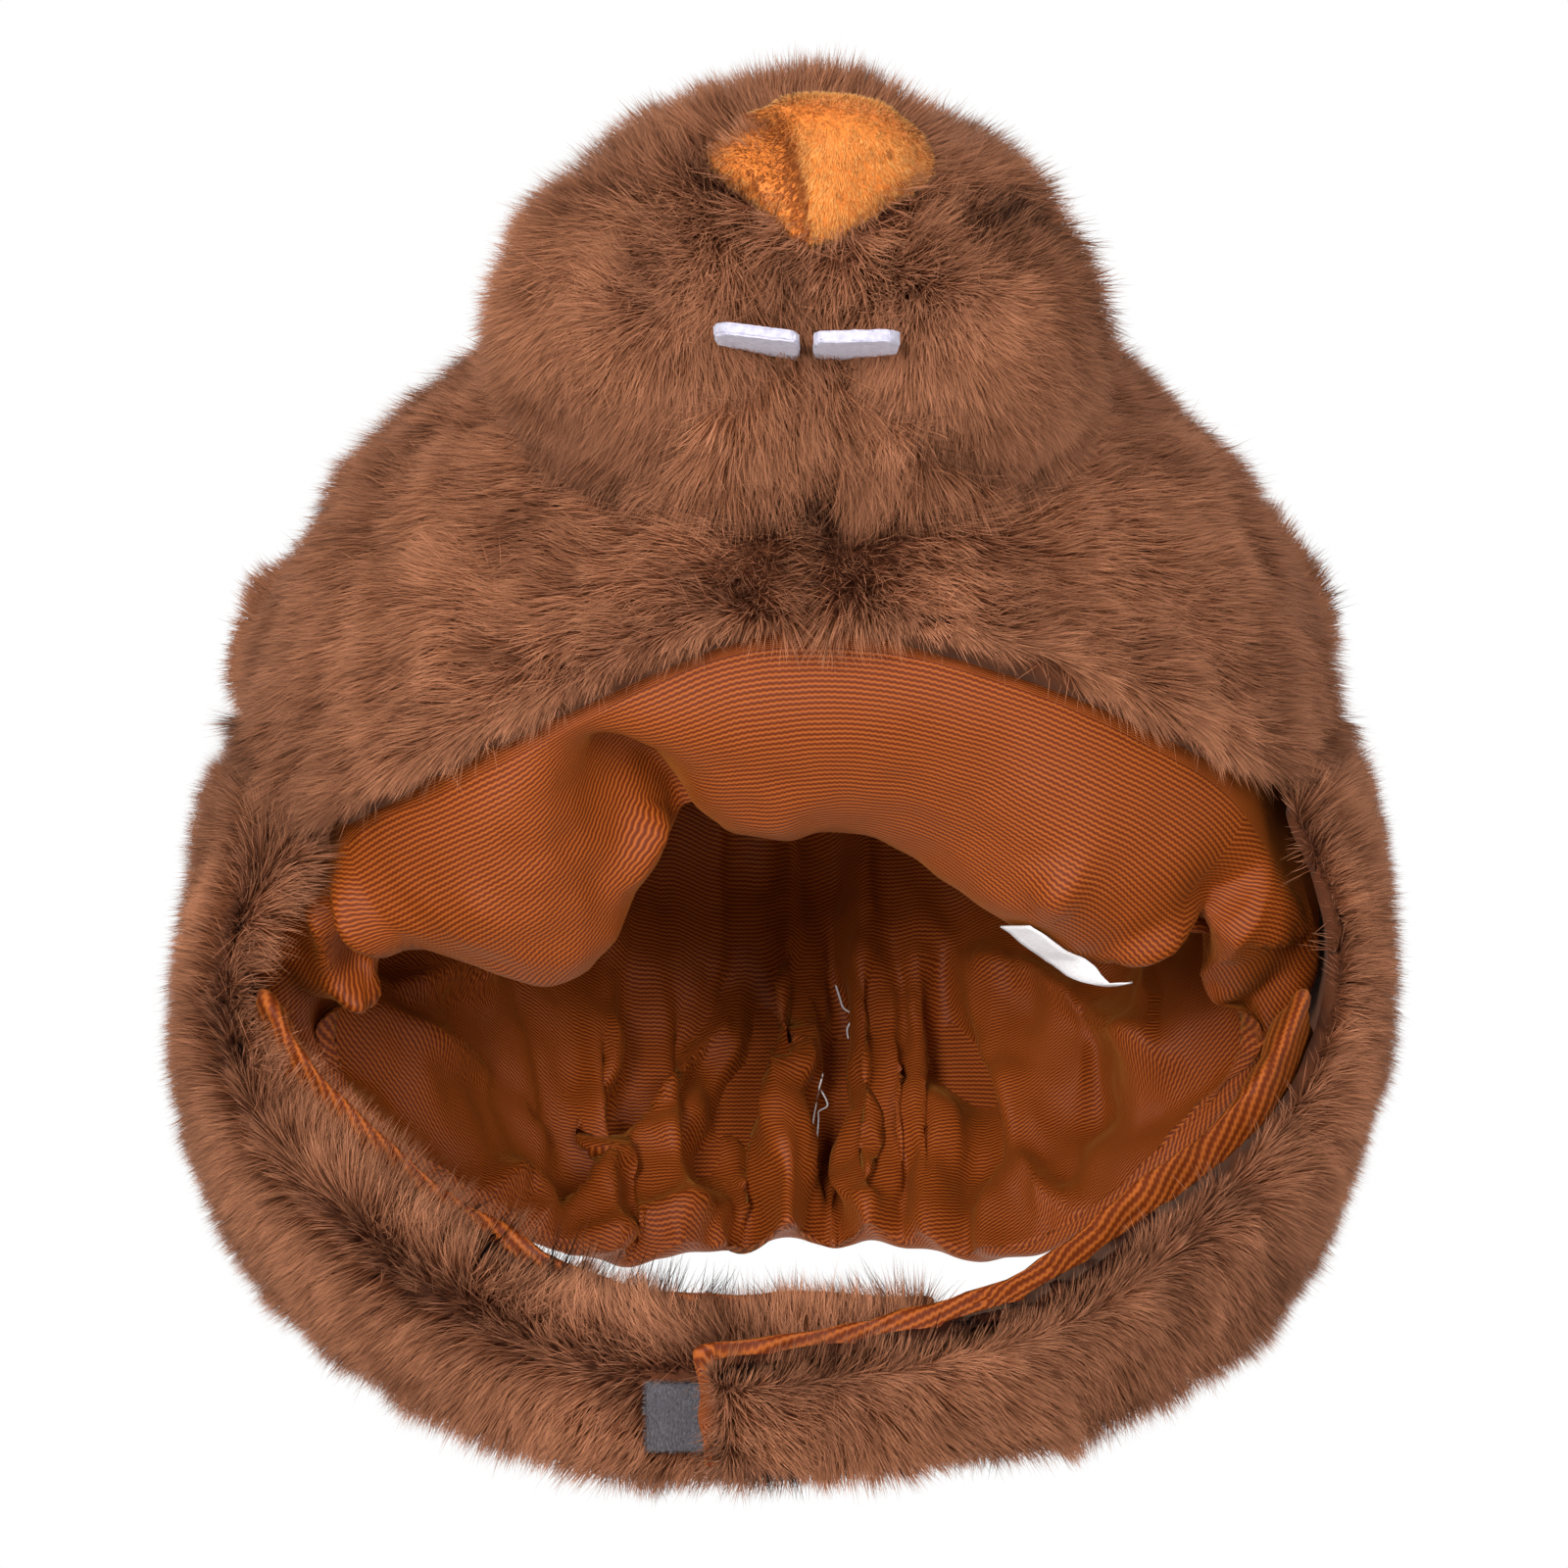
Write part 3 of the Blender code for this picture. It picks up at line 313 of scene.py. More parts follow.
def tricot_material():
    """Shiny ribbed knit: fine ribs with a zigzag, running round the hood, lighter on the rib crests as a
    painted highlight and darker in the valleys as painted shade.
    """
    made, tree, shader = material("rust_tricot", 0.52, 0.16, 0.14, (1.0, 0.42, 0.08), 0.35)
    place = node(tree, "ShaderNodeUVMap", uv_map="cloth").outputs[0]
    around, up, _ = separated(tree, place)
    zigzag = math_node(tree, "PINGPONG", around, ZIGZAG_WIDTH)
    climb = math_node(tree, "MULTIPLY_ADD", zigzag, ZIGZAG_CLIMB, up)
    drift = math_node(tree, "MULTIPLY_ADD", noise(tree, place, 55.0), RIB_DRIFT, climb)
    rib = ribs(tree, drift, RIB_PITCH)
    height = math_node(tree, "MULTIPLY_ADD", ribs(tree, around, STITCH_PITCH), 0.25, rib)
    # Painted light: the colour follows the rib waves of the relief, lighter on the crests as a painted
    # highlight and darker in the valleys as painted shade.
    shaded_valley, flank, lit_crest = (0.120, 0.0180, 0.0015), (0.210, 0.0390, 0.0036), (0.380, 0.0920, 0.0130)
    colour = ramp(tree, rib, [(0.0, shaded_valley), (0.55, flank), (1.0, lit_crest)])
    uneven = ramp(tree, noise(tree, place, 18.0), [(0.3, (0.86, 0.84, 0.82)), (0.7, (1.0, 1.0, 1.0))])
    tree.links.new(multiply(tree, colour, uneven), shader.inputs["Base Color"])
    raise_by(tree, shader, height, 0.55, 0.00018)
    return made


def cloth_material(name, dark, light, roughness, grain, strength, sheen=0.3):
    """Felt, satin or thread: a fine noise in colour and relief."""
    made, tree, shader = material(name, roughness, 0.3, sheen, (1, 1, 1), 0.5)
    fine = noise(tree, node(tree, "ShaderNodeTexCoord").outputs["Object"], grain, 6.0)
    tree.links.new(ramp(tree, fine, [(0.3, dark), (0.7, light)]), shader.inputs["Base Color"])
    raise_by(tree, shader, fine, strength, 0.0004)
    return made


# Root, middle and tip of the pile, then its darkest and lightest strands
FUR = pile_material(
    "fur_pile",
    (0.072, 0.020, 0.008),
    (0.195, 0.060, 0.023),
    (0.600, 0.250, 0.128),
    (0.23, 0.20, 0.18),
    (0.78, 0.80, 0.83),
)
NOSE_PILE = pile_material(
    "nose_pile",
    (0.66, 0.155, 0.020),
    (0.98, 0.340, 0.072),
    (1.00, 0.540, 0.180),
    (0.17, 0.10, 0.07),
    (0.60, 0.62, 0.64),
    roughness=0.55,
    sheen=0.15,
)
TAPE_PILE = pile_material(
    "tape_pile",
    (0.06, 0.055, 0.062),
    (0.13, 0.120, 0.135),
    (0.27, 0.255, 0.275),
    (0.38, 0.38, 0.38),
    (0.62, 0.62, 0.62),
    roughness=0.55,
    sheen=0.2,
)
TRICOT = tricot_material()
FELT = cloth_material("white_felt", (0.44, 0.42, 0.54), (0.62, 0.60, 0.71), 0.9, 900.0, 0.6)
SATIN = cloth_material("white_satin", (0.74, 0.72, 0.73), (0.88, 0.86, 0.87), 0.45, 1400.0, 0.3)
THREAD = cloth_material("white_thread", (0.70, 0.68, 0.68), (0.90, 0.88, 0.88), 0.6, 2500.0, 0.5)
FLOOR = cloth_material("pale_floor", (0.80, 0.79, 0.78), (0.84, 0.83, 0.82), 0.8, 3.0, 0.0, 0.0)


# Meshes


def piece(name, points, faces, materials, uvs=None, slots=None):
    """A mesh object from points and faces that are arrays of corners. uvs maps a name to corner UVs."""
    mesh = bpy.data.meshes.new(name)
    points = np.asarray(points, np.float32)
    mesh.vertices.add(len(points))
    mesh.vertices.foreach_set("co", points.ravel())
    counts = np.concatenate([np.full(len(f), f.shape[1]) for f in faces])
    corners = np.concatenate([f.ravel() for f in faces]).astype(np.int32)
    mesh.loops.add(len(corners))
    mesh.loops.foreach_set("vertex_index", corners)
    mesh.polygons.add(len(counts))
    mesh.polygons.foreach_set("loop_start", np.concatenate([[0], np.cumsum(counts)[:-1]]).astype(np.int32))
    if slots is not None:
        mesh.polygons.foreach_set("material_index", np.asarray(slots, np.int32))
    for label, values in (uvs or {}).items():
        layer = mesh.uv_layers.new(name=label)
        layer.data.foreach_set("uv", np.asarray(values, np.float32).ravel())
    for finish in materials:
        mesh.materials.append(finish)
    mesh.update(calc_edges=True)
    mesh.shade_smooth()
    made = bpy.data.objects.new(name, mesh)
    bpy.context.scene.collection.objects.link(made)
    return made


def dress(made, slot, fill=None, *nodes):
    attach(made, "root")
    if nodes:
        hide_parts(*nodes)
    return made


def rounded(name, levels, kind="CATMULL_CLARK"):
    """Points, triangles and point normals of a part's node, welded and subdivided."""
    mesh = NODES[name].data.copy()
    work = bmesh.new()
    work.from_mesh(mesh)
    bmesh.ops.remove_doubles(work, verts=work.verts, dist=0.00001)
    work.to_mesh(mesh)
    work.free()
    made = bpy.data.objects.new("rounding", mesh)
    bpy.context.scene.collection.objects.link(made)
    modifier = made.modifiers.new("round", "SUBSURF")
    modifier.subdivision_type = kind
    modifier.levels = levels
    modifier.render_levels = levels
    bpy.context.view_layer.update()
    result = made.evaluated_get(bpy.context.evaluated_depsgraph_get()).to_mesh()
    result.calc_loop_triangles()
    points = np.zeros(len(result.vertices) * 3)
    result.vertices.foreach_get("co", points)
    normals = np.zeros(len(result.vertices) * 3)
    result.vertices.foreach_get("normal", normals)
    triangles = np.zeros(len(result.loop_triangles) * 3, np.int32)
    result.loop_triangles.foreach_get("vertices", triangles)
    bpy.data.objects.remove(made)
    return points.reshape(-1, 3), triangles.reshape(-1, 3), normals.reshape(-1, 3)


def solid_tree(*skip):
    """One tree of the part's other solids, to find which faces look into another piece."""
    points, faces = [], []
    for name, obj in NODES.items():
        if name in skip:
            continue
        start = len(points)
        points += [v.co.copy() for v in obj.data.vertices]
        faces += [[start + i for i in p.vertices] for p in obj.data.polygons]
    return BVHTree.FromPolygons(points, faces)


def clear_ahead(points, normals, reach, *skip):
    """Which points have none of the part's other pieces in front of them for that far."""
    others = solid_tree("care_label", *skip)
    clear = np.ones(len(points), bool)
    for i, (p, n) in enumerate(zip(points, normals)):
        hit = others.ray_cast(Vector(p - n * 0.0004), Vector(n), reach)
        clear[i] = hit[0] is None
    return clear


def thickness(points, triangles, normals):
    """How thick the solid is under each of its points."""
    own = BVHTree.FromPolygons([Vector(p) for p in points], triangles.tolist())
    thick = np.full(len(points), 0.001)
    for i, (p, n) in enumerate(zip(points, normals)):
        hit = own.ray_cast(Vector(p - n * 0.0005), Vector(-n))
        if hit[0] is not None:
            thick[i] = hit[3]
    return thick


# The skin's place in the pile's colours: a middle strand's lowest part
SKIN_TONE = np.array([0.5, 0.16])
SKIN_CORNERS = np.array([[-0.01, -0.01], [0.01, -0.01], [0.0, 0.01]])

# Pile beside another piece sinks less, out to this distance
BESIDE_REACH = 0.012
BESIDE_SHARE = 0.45

# Strands that stray, and how far the way of the strands turns for them and for the rest
STRAY_SHARE = 0.18
STRAY_TURN = 0.85
PLAIN_TURN = 0.20


def pelt(
    name,
    levels,
    budget,
    depth,
    length,
    width,
    flow,
    fill,
    finish=FUR,
    slot="brown_fur",
    label=None,
    kind="CATMULL_CLARK",
    carve=None,
    keep=None,
    reach=0.0025,
    over=(),
    shallow=None,
    lump=0.030,
    relief=0.0016,
    deepest=0.42,
    far=0.45,
    swirl=1.0,
    short=None,
    lean=0.85,
    tuft=40,
    gather=1.0,
    painted_shade=None,
):
    """Pile over a part's node: a skin sunk by depth, and leaning pointed strands rooted in it.

    budget counts the triangles of both. flow gives the way in which strands lie for points and normals.
    carve moves the surface first. No strand grows where keep says so, or where another piece is within
    reach, apart from those that the pile hangs over. shallow keeps the skin high, short scales the
    strands' length, the tone shift lowers their tone as painted shade in creases and folds, and far thins
    out the sides turned from the camera.
    """
    points, triangles, normals = rounded(name, levels, kind)
    normals = unit(normals)
    if carve:
        points = carve(points, normals)
    a, b, c = (points[triangles[:, i]] for i in range(3))
    centres = (a + b + c) / 3
    facing = np.cross(b - a, c - a)
    areas = np.linalg.norm(facing, axis=1) / 2
    facing = unit(facing)
    grows = clear_ahead(centres, facing, reach, name, *over)
    if keep:
        grows &= keep(centres, facing)
    share = np.zeros(len(points))
    total = np.zeros(len(points))
    for corner in range(3):
        np.add.at(share, triangles[:, corner], areas * grows)
        np.add.at(total, triangles[:, corner], areas)
    share = smooth(share / np.maximum(total, 1e-12) * 1.6)
    beside = solid_tree(name, "care_label", "lining", "flap_lining_left", "flap_lining_right")
    apart = np.array([beside.find_nearest(Vector(p))[3] for p in points])
    share = share * (BESIDE_SHARE + (1 - BESIDE_SHARE) * smooth(apart / BESIDE_REACH))
    if shallow:
        share = share * shallow(points)
    lumps = waves(points, lump, 3) * relief
    sunk = np.minimum((depth - lumps) * share, thickness(points, triangles, normals) * deepest)
    skin = points - normals * sunk[:, None]

    seen = (facing * unit(EYE - centres)).sum(1)
    weight = areas * grows * np.where(seen > -0.2, 1.0, far)
    count = budget - len(triangles)
    chosen = RNG.choice(len(triangles), count, p=weight / weight.sum())
    u, v = RNG.random(count), RNG.random(count)
    flip = u + v > 1
    u[flip], v[flip] = 1 - u[flip], 1 - v[flip]
    mixing = np.stack([1 - u - v, u, v], 1)[:, :, None]
    picked = triangles[chosen]
    root = (skin[picked] * mixing).sum(1)
    out = unit((normals[picked] * mixing).sum(1))

    lie = flow(root, out)
    lie = lie - out * (lie * out).sum(1, keepdims=True)
    strength = np.clip(np.linalg.norm(lie, axis=1), 0.0, 1.0)
    lie = unit(lie)
    side = np.cross(out, lie)
    turn = 0.50 * waves(root, 0.036, 11) + 0.30 * waves(root, 0.012, 12)
    stray = RNG.random(count) < STRAY_SHARE
    turn = (turn + RNG.normal(0, 1, count) * np.where(stray, STRAY_TURN, PLAIN_TURN)) * swirl
    lie = lie * np.cos(turn)[:, None] + side * np.sin(turn)[:, None]
    longer = length * (1 + 0.16 * waves(root, 0.022, 13) + 0.13 * RNG.normal(0, 1, count))
    longer = np.clip(longer, length * 0.45, length * 1.35)
    if short:
        longer = longer * short(root, out)
    steep = lean * (0.45 + 0.55 * strength)
    steep = np.clip(steep + 0.20 * waves(root, 0.026, 14) + RNG.normal(0, 0.17, count), 0.25, 1.40)
    end = root + (out * np.cos(steep)[:, None] + lie * np.sin(steep)[:, None]) * longer[:, None]

    # Strands gather into tufts: each leans towards the tip of the nearest leading strand
    leaders = RNG.choice(count, max(8, int(count / tuft)), replace=False)
    tree = KDTree(len(leaders))
    for index, leader in enumerate(leaders):
        tree.insert(root[leader], index)
    tree.balance()
    nearest = np.array([tree.find(p)[1] for p in root])
    pull = (0.04 + 0.30 * RNG.random(len(leaders)) ** 1.4)[nearest][:, None] * gather
    end += (end[leaders][nearest] - end) * pull
    shade = RNG.normal(0, 1, len(leaders))[nearest]

    tone = 0.5 + 0.13 * waves(root, 0.040, 15) + 0.12 * shade + 0.13 * RNG.normal(0, 1, count)
    # Painted shade: the tone shift darkens strands in creases and folds.
    if painted_shade:
        tone = tone + painted_shade(root)
    tone = np.clip(tone, 0.03, 0.97)
    across = unit(np.cross(unit(end - root), out + RNG.normal(0, 0.35, (count, 3))))
    broad = width * (0.7 + 0.6 * RNG.random(count))[:, None] / 2
    strands = np.stack([root - across * broad, root + across * broad, end], 1)
    blades = len(skin) + 3 * np.arange(count)[:, None] + np.array([[0, 1, 2]])

    skin_uv = np.tile(SKIN_TONE + SKIN_CORNERS, (len(triangles), 1))
    foot, top = 0.02 + 0 * tone, 0.99 + 0 * tone
    blade_uv = np.stack([tone - 0.008, foot, tone + 0.008, foot, tone, top], 1)
    made = piece(
        label or "fur_" + name,
        np.concatenate([skin, strands.reshape(-1, 3)]),
        [triangles, blades],
        [finish],
        {"OFBake": np.concatenate([skin_uv, blade_uv.reshape(-1, 2)])},
    )
    soft = unit(out + lie * 0.45 + across * RNG.normal(0, 0.25, count)[:, None])
    lasting = np.concatenate([normals, np.repeat(soft, 3, axis=0)]).astype(np.float32)
    store = made.data.attributes.new("pile_normal", "FLOAT_VECTOR", "POINT")
    store.data.foreach_set("vector", lasting.ravel())
    return dress(made, slot, fill, name)


# Fur


def spread(centre, push=(0.0, 0.0, 0.0), calm=0.010):
    """Strands that lie away from a point, upright near it, with a push in one direction."""
    centre, push = np.array(centre), np.array(push)

    def flow(p, n):
        away = (p - centre) - n * ((p - centre) * n).sum(1, keepdims=True)
        far = np.linalg.norm(away, axis=1, keepdims=True)
        return away / (far + calm) + push * np.minimum(far / 0.02, 1.0)

    return flow


def steady(way):
    """Strands that lie one way, whatever the surface faces."""

    def flow(p, n):
        return np.broadcast_to(np.array(way), p.shape) * 1.0

    return flow


def crown_flow(side):
    """Strands fall back and out from the brow, and straighter down beside the middle seam."""

    def flow(p, n):
        hem = smooth((p[:, 2] + 0.045) / 0.05)
        near = np.exp(-((p[:, 0] / 0.030) ** 2)) * (p[:, 1] < 0)
        x = side * (0.55 + 0.75 * hem) * (1 - 0.75 * near)
        z = -0.95 + 0.55 * hem
        return np.stack([x, 0.25 + 0 * x, z], 1)

    return flow


LOOP_MIDDLE = np.array((0.0, -0.045, -0.045))
HEAD_MIDDLE = np.array((0.0, -0.040, -0.045))


def loop_place(points):
    """Where points lie round the loop of the flaps: the turn, and the distance from its centre."""
    away = points - LOOP_MIDDLE
    return np.arctan2(away[:, 0], -away[:, 2]), np.hypot(away[:, 0], away[:, 2])


def beyond_middle(name):
    """A function for how far points lie outside the middle of the flap's band."""
    turn, radius = loop_place(np.array([v.co for v in NODES[name].data.vertices]))
    steps = np.linspace(turn.min(), turn.max(), 13)
    turns, radii = [], []
    for low, high in zip(steps[:-1], steps[1:]):
        inside = radius[(turn >= low) & (turn <= high)]
        if len(inside):
            turns.append((low + high) / 2)
            radii.append((inside.min() + inside.max()) / 2)

    def beyond(p):
        turn, radius = loop_place(p)
        return radius - np.interp(turn, turns, radii)

    return beyond


def flap_flow(side, name, inward):
    """Strands point away from the loop. Those inside the band's middle turn inward over the pad."""
    beyond = beyond_middle(name)

    def flow(p, n):
        away = (p - LOOP_MIDDLE) * (1, 0.3, 1)
        outer = (1 - 2 * inward * smooth(0.5 - beyond(p) / 0.010))[:, None]
        strap = smooth((0.075 - np.abs(p[:, 0])) / 0.05)[:, None]
        over = np.array((side * 0.45, -0.10, 0.15))
        return unit(away) * outer * (1 - 0.3 * strap) + over * strap * (1 - inward * 0.5)

    return flow


def flap_longer(name):
    """Strands over the pad's edge are longer."""
    beyond = beyond_middle(name)

    def factor(p, n):
        return 1 + 0.45 * smooth(0.3 - beyond(p) / 0.010)

    return factor


def flap_keep(p, n):
    """The pile is on the side that looks away from the head."""
    out = unit((p - HEAD_MIDDLE) * (1.0, 0.6, 1.0))
    return (n * out).sum(1) > -0.80


PATCH_LOW, PATCH_HIGH = (np.array(v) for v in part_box("loop_patch"))


def beside_patch(p, n):
    """No pile stands under the tape."""
    inside = np.all((p > PATCH_LOW - (0.0, 0.010, -0.007)) & (p < PATCH_HIGH + (0.0, 0.016, 0.001)), axis=1)
    return flap_keep(p, n) & ~inside


def seam_shallow(points):
    """The skin stays high beside the middle seam, so that the parting is narrow."""
    return 0.55 + 0.45 * smooth(np.abs(points[:, 0] - 0.002) / 0.016)


def crown_keep(p, n):
    """The pile is on the side that looks away from the hollow, and round the hem."""
    return (n * unit(p - np.array((0.0, 0.0, -0.02)))).sum(1) > -0.15


CROWN = dict(levels=1, reach=0.001, deepest=0.70, depth=0.0078, length=0.0106, width=0.00032, fill=0.5)
FLAP = dict(levels=2, budget=105000, depth=0.0075, length=0.0096, width=0.00032, fill=0.4)
FACE = dict(levels=1, reach=0.001, depth=0.0078, length=0.0115, width=0.00034, fill=0.8)
EAR = dict(levels=1, budget=10000, depth=0.0028, length=0.0095, width=0.00034, fill=0.3)
BROW = (0.002, -0.172, 0.062)
CHIN_SEAM = 0.003
CHIN_TOP = 0.018


def chin_lobes(points, normals):
    """Below the teeth the muzzle is two soft lobes with a crease between them."""
    below = smooth((CHIN_TOP - points[:, 2]) / 0.010)
    beside = np.abs(points[:, 0] - CHIN_SEAM)
    lift = (0.0022 * bump(beside - 0.015, 0.009) - 0.0050 * bump(beside, 0.0045)) * below
    return points + normals * lift[:, None]


def chin_crease_painted_shade(points):
    """Painted shade: the strands' tone is darker along the crease of the chin."""
    below = smooth((CHIN_TOP - points[:, 2]) / 0.010)
    return -0.45 * bump(points[:, 0] - CHIN_SEAM, 0.0035) * below


pelt("crown_left", budget=162000, flow=crown_flow(-1), keep=crown_keep, shallow=seam_shallow, **CROWN)
pelt("crown_right", budget=156000, flow=crown_flow(1), keep=crown_keep, shallow=seam_shallow, **CROWN)
pelt(
    "flap_left",
    flow=flap_flow(-1, "flap_left", 1.0),
    keep=beside_patch,
    short=flap_longer("flap_left"),
    over=["flap_lining_left", "lining"],
    **FLAP,
)
pelt(
    "flap_right",
    flow=flap_flow(1, "flap_right", 0.35),
    keep=flap_keep,
    over=["flap_lining_right", "lining"],
    **FLAP,
)
pelt(
    "snout",
    budget=70000,
    flow=spread(BROW, (0, 0.2, -0.2), 0.02),
    swirl=1.5,
    carve=chin_lobes,
    painted_shade=chin_crease_painted_shade,
    **FACE,
)
pelt("cheek_left", budget=68000, flow=steady((-0.42, 0.43, -0.80)), swirl=1.7, **FACE)
pelt("cheek_right", budget=62000, flow=steady((0.38, 0.43, -0.80)), swirl=1.7, **FACE)
for ear, side in (("ear_left", -1), ("ear_right", 1)):
    pelt(ear, flow=spread((side * 0.105, 0.025, 0.055), calm=0.001), **EAR)

# The nose: a folded flap of plush lies over its left side

NOSE_MIDDLE = (0.0025, 0.0538)
NOSE_HALF = (0.0265, 0.0200)
NOSE_EDGE = [(-0.62, 0.62), (-0.42, 0.44), (-0.26, 0.16), (-0.19, -0.10), (-0.12, -0.42), (-0.05, -0.95)]
NOSE_STEP = 0.0034
NOSE_ROLL = 0.0016


def beside_edge(points):
    """Where points lie on the nose, and how far right of the folded edge."""
    spot = (points[:, [0, 2]] - NOSE_MIDDLE) / NOSE_HALF
    route = np.array(NOSE_EDGE)
    edge = np.interp(-spot[:, 1], -route[:, 1], route[:, 0])
    inside = smooth((0.74 - spot[:, 1]) / 0.30) * smooth((spot[:, 1] + 1.00) / 0.25)
    return spot, (spot[:, 0] - edge) * NOSE_HALF[0], inside


def nose_layers(points, normals):
    """Sinks the layer left of the folded edge, and rolls the edge itself up."""
    spot, beside, inside = beside_edge(points)
    front = smooth(-normals[:, 1] / 0.5)
    under = smooth((-beside + 0.0004) / 0.0010) * smooth((beside + 0.019) / 0.012)
    pocket = bump(spot[:, 1] + 0.12, 0.40) * bump(beside + 0.0030, 0.0028)
    roll = bump(beside - 0.0014, 0.0016)
    sink = (NOSE_STEP * under + 0.0020 * pocket) * inside * front
    rise = NOSE_ROLL * roll * inside * front
    own = BVHTree.FromPolygons(
        [v.co for v in NODES["nose"].data.vertices],
        [list(p.vertices) for p in NODES["nose"].data.polygons],
    )
    for i in np.nonzero(sink > 0.0005)[0]:
        hit = own.ray_cast(Vector(points[i] + (0.0, 0.0012, 0.0)), Vector((0.0, 1.0, 0.0)))
        room = 0.0 if hit[0] is None else hit[3] + 0.0012
        sink[i] = min(sink[i], room * 0.55)
    return points + np.stack([0 * sink, sink - rise, 0 * sink], 1)


def nose_fold_painted_shade(points):
    """Painted shade: the plush's tone is darker down in the fold, along the folded edge and a second crease,
    and on the layer under the fold.
    """
    spot, beside, inside = beside_edge(points)
    pocket = bump(spot[:, 1] + 0.12, 0.35) * bump(beside + 0.0030, 0.0030) * 0.7
    crease = bump(beside + 0.0012, 0.0014) * 1.5 + pocket
    under = smooth(-beside / 0.002) * 0.12
    second = bump(beside + 0.0095 + 0.004 * spot[:, 1], 0.0012) * bump(spot[:, 1] + 0.15, 0.45) * 0.4
    return -(crease + under + second) * inside


pelt(
    "nose",
    levels=3,
    budget=74000,
    depth=0.0006,
    length=0.0013,
    width=0.00020,
    flow=spread((0.0, -0.180, 0.080), (0.0, 0.0, -0.4), 0.001),
    finish=NOSE_PILE,
    slot="orange_plush",
    fill=0.6,
    reach=0.0008,
    lean=0.75,
    lump=0.012,
    carve=nose_layers,
    painted_shade=nose_fold_painted_shade,
    relief=0.0005,
    tuft=26,
    far=0.8,
    label="nose_plush",
)
for patch in ("loop_patch", "hook_patch"):
    pelt(
        patch,
        levels=3,
        kind="SIMPLE",
        budget=7000,
        depth=0.0002,
        length=0.0011,
        width=0.00016,
        flow=spread((0.0, -0.05, -0.10), calm=0.001),
        finish=TAPE_PILE,
        slot="grey_tape",
        fill=0.1,
        reach=0.0002,
        lean=0.7,
        lump=0.010,
        relief=0.0001,
        tuft=6,
        gather=1.6,
        far=0.8,
        label=patch + "_tape",
    )


# Lining: the same padded bag as in the part, with its finer folds


def plan_radius(angle, inset=0.0):
    turn = np.radians(angle)
    right, front = np.sin(turn), np.cos(turn)
    half_x = np.where(right > 0, HALF_WIDTH_RIGHT, HALF_WIDTH_LEFT) - inset
    half_y = np.where(front > 0, FRONT_DEPTH, BACK_DEPTH) - inset
    share = np.abs(right / half_x) ** PLAN_POWER + np.abs(front / half_y) ** PLAN_POWER
    return share ** (-1 / PLAN_POWER)


def shell_radius(angle, z, inset=0.0):
    radius = plan_radius(angle, inset)
    up = np.clip((z - WIDEST_Z) / (CROWN_HEIGHT - inset), 0.0, 1.0)
    down = np.clip((WIDEST_Z - z) / BODY_DROP, 0.0, None)
    above = (1 - up**DOME_POWER) ** (1 / DOME_POWER)
    return radius * above * (1 - along(BODY_TAPER, "taper", np.abs(angle)) * down**1.5)


def dome_height(share, inset=0.0):
    return WIDEST_Z + (CROWN_HEIGHT - inset) * np.sin(share * math.pi / 2) ** (2 / DOME_POWER)


def at_angle(angle, radius, z):
    turn = np.radians(angle)
    return np.stack([radius * np.sin(turn), -radius * np.cos(turn), z + 0 * radius], -1)


def signed(angle):
    return (angle + 180) % 360 - 180


def gather_rise(angle, height):
    rise = 0.0 * angle
    for g in GATHERS:
        middle = g["foot"] + (g["head"] - g["foot"]) * height
        fade = max(0.0, 1 - height / g["fade"]) ** 0.7
        rise = rise + GATHER_RISE * g["rise"] * fade * bump(signed(angle - middle), g["width"])
    return rise


def crumple_rise(angle, drop):
    rise = 0.0 * angle
    for c in CRUMPLES:
        tall = bump(drop - c["low"], c["tall"])
        rise = rise + CRUMPLE_RISE * c["rise"] * bump(signed(angle - c["angle"]), c["wide"]) * tall
    return rise


UNITS = {"hem": BODY_DROP, "sag": PUFF_SAG, "reach": PUFF_REACH, "upper": PUFF_REACH, "bulge": SIDE_BULGE}


def lining_profile(angle):
    """Points up the lining's inner side for each angle, as in the part."""
    row = {column: size * along(LINING, column, angle) for column, size in UNITS.items()}
    foot = WIDEST_Z - row["hem"]
    start = PLUSH + LINING_GAP - row["bulge"]
    depth = row["reach"] - start
    lines = []
    outer = foot + LINING_HEM_ROLL * 0.5
    hem = WIDEST_Z - BODY_DROP * along(CROWN_HEM, "drop", angle)
    swell = row["bulge"] * np.clip((hem - BULGE_CLEARANCE - outer) / BULGE_RISE, 0.0, 1.0)
    edge = shell_radius(angle, outer, PLUSH + LINING_GAP) + swell
    lines.append(at_angle(angle, edge, outer))
    for share, drop in ((0.10, 0.30), (0.30, 0.78), (0.55, 1.0), (0.80, 0.90), (0.95, 0.55)):
        z = foot - row["sag"] * drop
        inset = start + depth * share + gather_rise(angle, 0.0) * share
        lines.append(at_angle(angle, shell_radius(angle, z) - inset, z))
    low = foot - row["sag"] * 0.55
    for k in range(1, 6):
        share = k / 5
        z = low + (WIDEST_Z + 0.012 - low) * share
        inset = row["reach"] + (row["upper"] - row["reach"]) * share**1.4
        inset = inset + gather_rise(angle, share * 0.8) + crumple_rise(angle, (WIDEST_Z - z) / BODY_DROP)
        lines.append(at_angle(angle, shell_radius(angle, z) - inset, z))
    wall = PLUSH + LINING_TOP_WALL
    for k in range(1, 8):
        share = k / 7
        inset = row["upper"] + (wall - row["upper"]) * share
        base = np.arcsin(np.clip((0.012 / (CROWN_HEIGHT - inset)) ** (DOME_POWER / 2), 0, 1)) / (math.pi / 2)
        z = dome_height(base + (1 - base) * share, inset)
        radius = shell_radius(angle, z, inset) - gather_rise(angle, 0.8 + share) * (1 - share)
        lines.append(at_angle(angle, np.maximum(radius, 0.0) * (share < 1), z))
    return np.array(lines)


